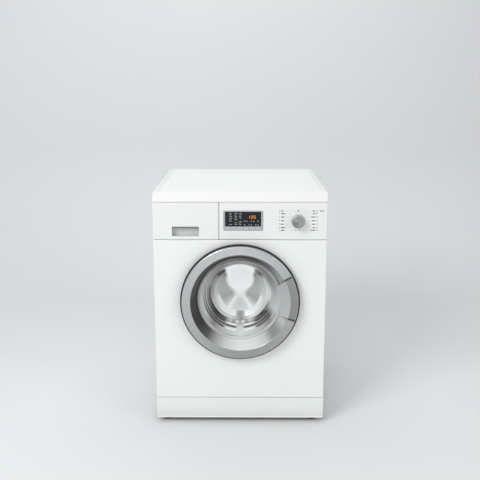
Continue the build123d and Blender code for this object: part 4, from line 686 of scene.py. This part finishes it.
def screw_head(radius, proud, shank, slot=0.0007):
    """A pan head screw along Y with a cross recess pressed into its face."""
    edge = 0.0006
    outline = rounded([
        (0, -shank, 0), (radius * 0.48, -shank, 0), (radius * 0.48, 0, 0), (radius, 0, 0),
        (radius, proud - edge, edge), (radius * 0.86, proud, 0.0008), (0, proud, 0)], 3)
    head = add_object("screw_head", turned("screw_head", outline, 28, 0))
    cross = bmesh.new()
    for wide, high in ((slot, radius * 0.58), (radius * 0.58, slot)):
        place = Matrix.Translation((0, proud, 0)) @ Matrix.Diagonal((wide, proud * 0.62, high, 1))
        bmesh.ops.create_cube(cross, size=2, matrix=place)
    cutter = add_object("recess", as_mesh("recess", cross))
    cut = head.modifiers.new("recess", "BOOLEAN")
    cut.object, cut.use_self = cutter, True
    mesh = evaluated(head)
    bpy.data.objects.remove(cutter)
    return mesh


def screw_rows():
    """Sets a copy of a screw at each point, each turned by its own amount."""
    tree, given, wanted = group(
        "screw_rows", "Geometry", {"Geometry": "Geometry", "Screw": "Object", "Finish": "Material", "Seed": "Int"},
        {"Geometry": "Geometry"})
    screw = node(tree, "GeometryNodeObjectInfo", Object=given["Screw"]).outputs["Geometry"]
    turns = out(tree, "FunctionNodeRandomValue", data_type="FLOAT_VECTOR", Min=(0, 0, 0), Max=(0, 1.5, 0),
                Seed=given["Seed"])
    copies = out(tree, "GeometryNodeInstanceOnPoints", Points=given["Geometry"], Instance=screw, Rotation=turns)
    real = out(tree, "GeometryNodeRealizeInstances", Geometry=copies)
    put(wanted[0], out(tree, "GeometryNodeSetMaterial", Geometry=real, Material=given["Finish"]))
    return tree


screw_places = []
for vertex in nodes["cabinet_screws"].data.vertices:
    for places in screw_places:
        if (places[0].xz - vertex.co.xz).length < 0.012:
            places.append(vertex.co)
            break
    else:
        screw_places.append([vertex.co])
proud = 0.0022
centres = []
for low, high in map(span, screw_places):
    radius = (high.x - low.x) / 2
    centres.append(((low.x + high.x) / 2, high.y, (low.z + high.z) / 2))
for depth in sorted({round(y, 4) for x, y, z in centres}):
    points = bpy.data.meshes.new("screw_points")
    points.from_pydata([(x, y - proud, z) for x, y, z in centres if round(y, 4) == depth], [], [])
    screw = add_object("screw", screw_head(radius, proud, 0.008))
    heads = grow("screws", points, screw_rows(), Screw=screw, Finish=bright_steel, Seed=4)
    bpy.data.objects.remove(screw)
    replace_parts(new_piece(f"screws_{round(depth * 1000)}", crease(heads, 30), bright_steel, "cabinet"),
                "cabinet_screws")

# Front panel and door seal: a pressed white sheet with soft edges and a round hole, and the
# grey rubber bellows clamped between the hole's rim and the tub's mouth.
seal_rubber = finish("seal_rubber", (0.3, 0.31, 0.32), 0.4, grain, 0.0009, tone=0.05, relief=4e-5)
skin(cabinet_white, "front_panel")
seal_low, seal_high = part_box("bellows")
skin(seal_rubber, "bellows", angle=40, ends=((0, seal_low.y + 0.031, 0), (0, seal_high.y - 0.008, 0)))

# Door: a black moulded back shell and rim, the silver ring with its cone, the handle let
# into the ring and the pressed glass bowl. The ring is sprayed with fine aluminium flake.


def paint_flake(tree, place, flake_size, cloud_size):
    """Metallic paint: tiny flakes that lie at slightly different angles."""
    flakes = node(tree, "SeparateColor", Color=cells(tree, place, flake_size)["Color"]).outputs
    return out(tree, "Mix", Factor=0.5, A=flakes["Red"], B=noise(tree, place, cloud_size)), flakes["Green"]


def tint(material, greys, inner, outer, soft=0.0008, metallic=None, axis=None):
    """Greys by their degrees round an axis, and a metallic level, for a finish between two radii."""
    tree = material.node_tree
    shader = tree.nodes["Principled BSDF"].inputs
    across, height = axis or (0, door_z)
    spot = node(tree, "Group", node_tree=polar, Axis_across=across, Axis_height=height,
                Place=node(tree, "TexCoord").outputs["Object"]).outputs
    ramp = node(tree, "ValToRGB", Fac=spot["Turn"])
    elements = ramp.color_ramp.elements
    for degrees, grey in {**greys, 360: greys[0]}.items():
        stop = elements.new(min(degrees / 360, 0.9999)) if degrees else elements[0]
        stop.position = degrees / 360
        stop.color = (grey, grey * 1.01, grey * 1.015, 1)
    elements.remove(elements[-1])
    edges = [out(tree, "MapRange", Value=spot["Radius"], From_Min=radius - soft, From_Max=radius + soft,
                 To_Min=start, To_Max=1 - start) for radius, start in ((inner, 0), (outer, 1))]
    band = maths(tree, "MULTIPLY", *edges)
    base = shader["Base Color"]
    under = base.links[0].from_socket
    put(base, out(tree, "Mix", data_type="RGBA", Factor=band, A=under, B=ramp.outputs["Color"]))
    if metallic is not None:
        own = shader["Metallic"].default_value
        put(shader["Metallic"], out(tree, "Mix", Factor=band, A=own, B=metallic))


def clear_glass():
    """Pressed glass that lets the lamps light what is behind it."""
    material = finish("door_glass", (0.97, 0.985, 0.98), 0.03, peel, 0.012, tone=0.01, swing=0.01, relief=3e-5,
        IOR=1.47, Transmission_Weight=1)
    tree = material.node_tree
    choice = node(tree, "MixShader", Fac=node(tree, "LightPath").outputs["Is Shadow Ray"])
    put(choice.inputs[1], tree.nodes["Principled BSDF"].outputs["BSDF"])
    put(choice.inputs[2], out(tree, "BsdfTransparent"))
    put(tree.nodes["Material Output"].inputs["Surface"], choice.outputs["Shader"])
    return material


polar = polar_place()
flake = effect(paint_flake, Flake_size=0.0006, Cloud_size=0.06)
flaked = partial(finish, look=flake, tone=0.04, relief=1e-5)
lacquer = {"Metallic": 0.75, "Coat_Weight": 0.3, "Coat_Roughness": 0.15}
ring_silver = flaked("ring_silver", (0.5, 0.52, 0.53), 0.33, **lacquer)
handle_silver = flaked("handle_silver", (0.46, 0.48, 0.49), 0.36, **lacquer)
# Painted light and shade on the ring: its flat face is painted lighter to the upper left and darker below, with
# painted shadow in the seams beside the handle; the cone is painted dark above and near-white below as a painted
# reflection, with less metal there.
tint(ring_silver, {0: 0.47, 28.2: 0.012, 29.1: 0.012, 29.6: 0.52, 60: 0.6, 95: 0.66, 150: 0.57, 180: 0.52, 225: 0.44,
    270: 0.36, 315: 0.4, 340.2: 0.46, 340.6: 0.012, 341.8: 0.012}, 0.1725, 0.1998, 0.0006)
tint(ring_silver, {0: 0.3, 29: 0.46, 40: 0.34, 52: 0.15, 72: 0.07, 100: 0.035, 140: 0.02, 180: 0.02, 212: 0.025,
    226: 0.09, 238: 0.42, 252: 0.72, 270: 0.86, 290: 0.8, 304: 0.62, 313: 0.3, 322: 0.34, 334: 0.62, 345: 0.55},
    0.14, 0.1715, 0.0005, metallic=0.15)
# Painted shade on the handle: its outer facet is painted darker than its inner one, with painted shadow in the seams
# at both ends, and less metal on the inner band.
tint(handle_silver, {0: 0.3, 27.2: 0.34, 27.8: 0.02, 180: 0.02, 342.2: 0.02, 342.8: 0.3}, 0.1745, 0.199, 0.001)
tint(handle_silver, {0: 0.5, 27: 0.46, 27.7: 0.1, 180: 0.02, 342.3: 0.1, 343: 0.52}, 0.12, 0.1735, 0.001,
    metallic=0.45)
rim_black = finish("rim_black", (0.016, 0.018, 0.02), 0.28, grain, 0.0008)
tint(rim_black, {0: 0.36}, -1, 0.168)
skin(ring_silver, "door_ring")
skin(rim_black, "door_back_shell")
skin(clear_glass(), "door_glass")
cone_end = door_low.y + 0.0437
bead_silver = flaked("bead_silver", (0.6, 0.61, 0.62), 0.22, Metallic=0.6)
# Painted light and shade on the glass bead: dark along its top and bright along its bottom, with less metal there.
tint(bead_silver, {0: 0.55, 45: 0.3, 70: 0.16, 90: 0.14, 115: 0.17, 135: 0.3, 160: 0.42, 200: 0.45, 235: 0.5,
    270: 0.72, 300: 0.62, 330: 0.6}, 0.139, 0.16, metallic=0.3)
bead = turned("glass_bead", rounded([(r, cone_end + y, rounding) for r, y, rounding in (
    (0.1375, 0.0002, 0), (0.1375, -0.001, 0.0004), (0.144, -0.0026, 0.004), (0.1496, -0.0012, 0.0004),
    (0.1496, -0.0004, 0))]))
new_piece("glass_bead", crease(bead, 50), bead_silver, "door")

# Sheen of the bowl's end: the bowl's bottom mirrors the soft lamps of the photograph as a
# bright fan at its top and two curved streaks below. A thin domed film inside the bowl
# carries them, since a plain studio gives the glass little to mirror.


def film(name, face, thickness, material):
    """A thin film on the door, turned from the (radius, depth behind the cone) line of its face, glowing faintly with
    its own painted greys.
    """
    line = [(r, cone_end + y) for r, y in face]
    rear = [(r + thickness[0], y + thickness[1]) for r, y in reversed(line)]
    new_piece(name, crease(turned(name, line + rear), 60), material, "door")
    shader = material.node_tree.nodes["Principled BSDF"].inputs
    put(shader["Emission Color"], shader["Base Color"].links[0].from_socket)
    put(shader["Emission Strength"], 0.27)


# Painted reflections on the end film: greys round its axis for the bright fan, the curved streaks and the dark
# patches, and a bright disc above its centre; the film glows faintly with these greys.
sheen = finish("bowl_sheen", (0.42, 0.43, 0.44), 0.22, peel, 0.02, tone=0.05, Metallic=0.25, Alpha=0.84)
for greys, inner, outer, soft in (
        ({0: 0.42, 20: 0.42, 40: 0.34, 54: 0.4, 60: 0.92, 120: 0.92, 126: 0.46, 140: 0.38, 170: 0.44, 200: 0.38,
          222: 0.56, 236: 0.86, 248: 0.66, 270: 0.62, 292: 0.66, 304: 0.86, 316: 0.56, 334: 0.36}, -1, 0.13, 0.006),
        ({0: 0.76}, -1, 0.022, 0.008),
        ({0: 0.5, 20: 0.44, 40: 0.34, 52: 0.26, 59: 0.93, 121: 0.93, 128: 0.22, 142: 0.38, 166: 0.42, 184: 0.48,
          196: 0.78, 256: 0.8, 264: 0.34, 271: 0.24, 278: 0.34, 285: 0.78, 340: 0.76, 352: 0.55}, 0.073, 0.13, 0.003),
        ({0: 0.52, 40: 0.36, 52: 0.24, 59: 0.93, 121: 0.93, 128: 0.2, 142: 0.36, 170: 0.5, 200: 0.58, 222: 0.8,
          257: 0.8, 264: 0.32, 271: 0.22, 278: 0.32, 284: 0.76, 316: 0.76, 338: 0.58}, 0.084, 0.13, 0.004),
        ({0: 0.62, 30: 0.48, 44: 0.1, 56: 0.25, 61: 0.9, 119: 0.9, 124: 0.08, 136: 0.06, 150: 0.3, 180: 0.32,
          200: 0.5, 250: 0.62, 262: 0.4, 272: 0.18, 284: 0.4, 300: 0.64, 330: 0.56}, 0.094, 0.13, 0.002)):
    tint(sheen, greys, inner, outer, soft, metallic=0.1)
tint(sheen, {0: 0.86}, -1, 0.049, 0.006, metallic=0.1, axis=(0, door_z + 0.048))
film("bowl_sheen", [(0.1055 * i / 16, 0.0895 - 0.02 * (i / 16) ** 2) for i in range(17)], (0, 0.0004), sheen)
# Painted reflections and shade on the side film: bright and dark streaks by angle and dark rings round the bowl's
# side wall; it glows faintly with these greys too.
side_sheen = finish("bowl_side_sheen", (0.42, 0.43, 0.44), 0.16, peel, 0.009, tone=0.1, relief=0.0001, Metallic=0.25,
    Alpha=0.68)
tint(side_sheen, {0: 0.75, 20: 0.4, 40: 0.3, 60: 0.45, 90: 0.4, 120: 0.45, 135: 0.15, 160: 0.3, 185: 0.16, 205: 0.07,
    222: 0.03, 240: 0.14, 252: 0.72, 258: 0.3, 264: 0.85, 270: 0.45, 276: 0.9, 282: 0.3, 288: 0.75, 300: 0.22,
    318: 0.05, 335: 0.3, 350: 0.72}, 0.1, 0.15, 0.002, metallic=0.1)
tint(side_sheen, {0: 0.5, 30: 0.3, 60: 0.22, 90: 0.28, 120: 0.25, 150: 0.46, 180: 0.6, 205: 0.58, 225: 0.24, 240: 0.5,
    270: 0.76, 300: 0.55, 320: 0.24, 340: 0.6}, 0.1185, 0.14, 0.002, metallic=0.1)
for inner, outer, low, middle in (
        (0.1125, 0.115, 0.22, 0.5), (0.1155, 0.1205, 0.88, 0.55), (0.1225, 0.1265, 0.12, 0.7),
        (0.1275, 0.131, 0.8, 0.62)):
    tint(side_sheen, {0: 0.45, 20: 0.3, 60: 0.24, 120: 0.26, 160: 0.4, 190: 0.24, 215: 0.08, 241: 0.12, 248: low,
        262: low, 266: middle, 274: middle, 278: low, 292: low, 299: 0.12, 325: 0.08, 337: 0.52}, inner, outer,
        metallic=0.1)
film("bowl_side_sheen", [(0.1058, 0.0688), (0.11, 0.064), (0.125, 0.051), (0.133, 0.0215), (0.1368, 0.01),
                         (0.1376, 0.0014)], (0.0003, 0.0003), side_sheen)
skin(handle_silver, "door_handle")
skin(bright_steel, "hinge_bracket", "hinge_leaf", "door_hook")
skin(black_moulding, "door_lock")

# Detergent drawer: the white front with its finger recess, the translucent grey tray and
# its siphon cap, and the housing that it slides in, all injection moulded.
drawer_grey = finish("drawer_moulding", (0.55, 0.58, 0.6), 0.38, grain, 0.0009, relief=4e-5)
fascia_white = finish("fascia_moulding", (0.83, 0.836, 0.834), 0.34, grain, tone=0.008, relief=0.000012)
# Painted shade in the finger recess: its inner faces take a darker grey, painted darkest along the top.
painted_recess_shade = finish("recess_moulding", (0.66, 0.67, 0.67), 0.5, grain, 0.0009, relief=4e-5)
recess_x, recess_z, recess_wide, recess_high = -0.1865, 0.711, 0.094, 0.036
shade_above = 0.5
tint(painted_recess_shade, {0: 0.16}, -1, shade_above + 0.009, 0.006, axis=(recess_x, 0.728 + shade_above))
skin(drawer_grey, "dispenser_housing", "drawer_tray")
drawer_skin = skin(fascia_white, "drawer_front")
# The finger recess's inner faces take the painted shade.
drawer_skin.data.materials.append(painted_recess_shade)
recess_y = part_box("drawer_front")[0].y + 0.0006
for face in drawer_skin.data.polygons:
    x, y, z = face.center
    if abs(x - recess_x) < recess_wide / 2 and abs(z - recess_z) < recess_high / 2 and y > recess_y:
        face.material_index = 1

# Control fascia: the white moulding, the silver display bezel with its black window, six
# keys, and the printed circuit board behind them.
bezel_silver = flaked("bezel_silver", (0.47, 0.495, 0.5), 0.38, Metallic=0.6)
key_silver = flaked("key_silver", (0.58, 0.6, 0.6), 0.36, tone=0.03, Metallic=0.5)
window_black = finish("window_black", (0.006, 0.008, 0.009), 0.1, peel, 0.008, relief=4e-6)
board_green = finish("board_green", (0.03, 0.14, 0.06), 0.4, grain, 0.0012, relief=5e-5)
skin(fascia_white, "fascia")
skin(bezel_silver, "display_bezel")
skin(window_black, "display_window")
skin(key_silver, *[f"button_{i + 1}" for i in range(6)])
skin(board_green, "control_board")

# Display: orange figures that glow behind the window, and the small white marks printed on
# it in columns; all of it is film on the window's face.


def plates(name, rectangles, y, depth, material):
    """Thin upright plates from (left, bottom, right, top) rectangles, as one mesh."""
    form = bmesh.new()
    for left, bottom, right, top in rectangles:
        corners = ((left, bottom), (right, bottom), (right, top), (left, top))
        front, back = [[form.verts.new((x, place, z)) for x, z in corners] for place in (y - depth, y)]
        form.faces.new(front)
        form.faces.new(back[::-1])
        strips(form, [back, front])
    return new_piece(name, as_mesh(name, form), material, "cabinet", False)


def bar(x, z, long, half):
    """A rectangle from its left end, its middle's height and half its thickness."""
    return (x, z - half, x + long, z + half)


def segment_figure(left, bottom, width, height, stroke, lit):
    """The rectangles of one seven-segment figure; lit names its segments by letter."""
    right, top, middle = left + width, bottom + height, bottom + height / 2
    gap = stroke * 0.2
    half = stroke / 2
    where = {letter: bar(left + gap, z, width - 2 * gap, half)
             for letter, z in (("a", top - half), ("g", middle), ("d", bottom + half))}
    for letter, x, low, high in (("f", left, middle, top), ("b", right - stroke, middle, top),
                                 ("e", left, bottom, middle), ("c", right - stroke, bottom, middle)):
        where[letter] = (x, low + gap, x + stroke, high - gap)
    return [where[letter] for letter in lit]


window_low, window_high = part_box("display_window")
window_w = window_high.x - window_low.x
window_h = window_high.z - window_low.z
orange = finish("figure_orange", (0.45, 0.16, 0.02), 0.4, grain, 0.0004, Emission_Color=(1.0, 0.36, 0.05, 1),
    Emission_Strength=0.8)
mark_white = finish("mark_white", (0.55, 0.57, 0.58), 0.4, grain, 0.0004, Emission_Color=(0.8, 0.82, 0.84, 1),
    Emission_Strength=0.25)
figure_left = window_low.x + window_w * 0.64
figure_bottom = window_low.z + window_h * 0.54
stroke = 0.0012
figures = [bar(figure_left + 0.0081, figure_bottom + z, stroke, stroke / 2) for z in (0.0032, 0.0073)]
for shift, lit in ((0, "bc"), (0.0112, "abged"), (0.0194, "afgcd")):
    figures += segment_figure(figure_left + shift, figure_bottom, 0.0056, 0.0105, stroke, lit)
plates("display_figures", figures, window_low.y, 0.00012, orange)
marks = []
for column, x in enumerate((0.115, 0.265, 0.385)):
    left = window_low.x + window_w * x
    for row in range(8):
        z = window_low.z + window_h * (0.9 - 0.108 * row)
        if (row + column) % 7 != 6:
            long = 0.0052 + 0.0016 * ((row * 5 + column * 3) % 4) / 3
            marks += [bar(left, z, 0.0013, 0.0006), bar(left + 0.0024, z, long, 0.00045)]
for row, z in enumerate((0.36, 0.1)):
    marks += [bar(window_low.x + window_w * (0.53 + 0.062 * i), window_low.z + window_h * z, 0.0034, 0.0008)
              for i in range(7) if (i + row) % 3 != 2]
plates("display_marks", marks, window_low.y, 0.0001, mark_white)

# Programme dial: a silver-grey knob turned with a soft edge, its pointer, the plain numbers
# round it and the short bars that stand for words, printed in grey on the fascia.
knob_silver = flaked("knob_silver", (0.4, 0.42, 0.42), 0.36, tone=0.05, Metallic=0.7)
print_grey = finish("print_grey", (0.055, 0.058, 0.06), 0.5, grain, 0.0005)
line_grey = finish("line_grey", (0.4, 0.41, 0.42), 0.5, grain, 0.0005)


def numeral(text, x, z):
    """A plain number as flat outlines, ready to join others in one mesh."""
    curve = bpy.data.curves.new("numeral", "FONT")
    curve.body = text
    curve.size = 0.0078
    curve.align_x = curve.align_y = "CENTER"
    curve.extrude = 4e-5
    mesh = evaluated(add_object("numeral", curve))
    mesh.transform(Matrix.Translation((x, fascia_y - curve.extrude, z)) @ Matrix.Rotation(math.pi / 2, 4, "X"))
    return mesh


fascia_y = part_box("fascia")[0].y
knob_low, knob_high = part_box("programme_knob")
knob_x, _, knob_z = (knob_low + knob_high) / 2
dial_r = (knob_high.x - knob_low.x) / 2
# Painted light on the knob: its face is painted lighter to the upper left and darker to the lower left, and a painted
# highlight runs round its skirt, with less metal there.
tint(knob_silver, {0: 0.4, 60: 0.42, 100: 0.36, 140: 0.46, 200: 0.26, 250: 0.34, 300: 0.42}, -1, 0.0212, metallic=0.5,
    axis=(knob_x, knob_z))
tint(knob_silver, {0: 0.62, 120: 0.72, 200: 0.66, 300: 0.55}, 0.0222, 0.03, 0.0003,
    metallic=0.2, axis=(knob_x, knob_z))
skin(knob_silver, "programme_knob")
rows = (0.783, 0.774, 0.762, 0.749, 0.737, 0.725, 0.716)
numbers = bmesh.new()
bars = []
leaders = []
for i, z in enumerate(rows):
    for side in (-1, 1):
        edge = knob_x + side * 0.064
        small = numeral(str(7 - i if side < 0 else 8 + i), edge, z)
        numbers.from_mesh(small)
        bpy.data.meshes.remove(small)
        long = 0.0085 + 0.006 * ((i * 3 + (side > 0)) % 4) / 3
        near = edge - side * 0.0055
        bars.append(bar(min(near, near - side * long), z, long, 0.0015))
        start = near - side * (long + 0.003)
        end = knob_x + side * math.sqrt(max(4e-5, (dial_r + 0.008) ** 2 - (z - knob_z) ** 2))
        leaders.append(bar(min(start, end), z, abs(end - start), 0.0002))
bars.append(bar(knob_x + 0.073, rows[0], 0.015, 0.0012))
bars += [bar(knob_x + x, rows[-1], 0.0055, 0.001) for x in (-0.0095, 0.0015)]
new_piece("dial_numbers", as_mesh("dial_numbers", numbers), print_grey, "cabinet", False)
zero = [bar(knob_x - 0.0022, knob_z + dial_r + 0.0107, 0.0044, 0.0022)]
plates("dial_bars", bars, fascia_y, 8e-5, print_grey)
plates("dial_leaders", leaders, fascia_y, 8e-5, line_grey)
plates("dial_zero_mark", zero, fascia_y, 8e-5, print_grey)

# Worktop: a white laminate board let into a moulded frame with a sloping front lip.
laminate = finish("laminate", (0.82, 0.825, 0.82), 0.42, grain, 0.0012, Cloud_size=0.15, tone=0.01, relief=3e-5)
# The frame's white is painted a little darker than the fascia's, as painted shade that offsets the extra light on its
# sloping lip.
shaded_frame_white = finish("worktop_moulding", (0.765, 0.769, 0.764), 0.4, grain, 0.0007, tone=0.008, relief=0.000012)
skin(laminate, "worktop_board")
skin(shaded_frame_white, "worktop_frame")

# Plinth: the white moulded kick panel, which curves in to its lower edge and pulls off.
skin(fascia_white, "plinth")

# Studio: a pale floor and wall, a large soft lamp at the upper left in front, a fill at the
# right, and the camera a little above the machine's top, as in the photograph.


def lamp(name, place, aim, size, power):
    """A soft rectangular lamp aimed at a height on the machine's axis."""
    light = bpy.data.lights.new(name, "AREA")
    light.shape = "RECTANGLE"
    light.size, light.size_y = size
    light.energy = power
    holder = add_object(name, light)
    holder.location = place
    holder.rotation_euler = (Vector((0, 0, aim)) - Vector(place)).to_track_quat("-Z", "Y").to_euler()


paper = finish("studio_paper", (0.74, 0.745, 0.75), 0.9, grain, 0.003, Cloud_size=0.6, tone=0.01, relief=0.0001)
paper_reach = 40
curve_y, curve_r, paper_top = 1.0, 0.8, 5
angles = [math.radians(degrees) for degrees in range(0, 91, 6)]
profile = [(-paper_reach, 0), *[(curve_y + curve_r * math.sin(a), curve_r - curve_r * math.cos(a)) for a in angles],
           (curve_y + curve_r, paper_top)]
sweep = bmesh.new()
left, right = [[sweep.verts.new((x, y, z)) for y, z in profile] for x in (-paper_reach, paper_reach)]
for k in range(len(profile) - 1):
    sweep.faces.new((left[k], right[k], right[k + 1], left[k + 1]))
new_piece("studio_sweep", as_mesh("studio_sweep", sweep), paper)
lamp("key_lamp", (-2.2, -2.6, 3.0), 0.5, (1.6, 1.6), 77)
lamp("fill_lamp", (2.6, -2.2, 1.6), 0.4, (1.4, 2.0), 20)
lamp("front_lamp", (-0.45, -3.4, 1.45), 0.46, (1.3, 1.0), 8)
lamp("top_lamp", (0, 0.2, 3.4), 0.4, (2.2, 2.2), 28)
world = bpy.data.worlds.new("studio")
world.use_nodes = True
daylight = world.node_tree.nodes["Background"].inputs
put(daylight["Color"], (0.815, 0.822, 0.832, 1))
put(daylight["Strength"], 0.55)
bpy.context.scene.world = world
lens = bpy.data.cameras.new("camera")
lens.sensor_width = 36
lens.lens = 46.28
lens.shift_y = -0.108
camera = add_object("camera", lens)
camera.location = (0.01, -2.32, 1.22)
camera.rotation_euler = (math.radians(80.08), 0, math.radians(0.28))
bpy.context.scene.camera = camera
bpy.context.scene.view_settings.view_transform = "Standard"
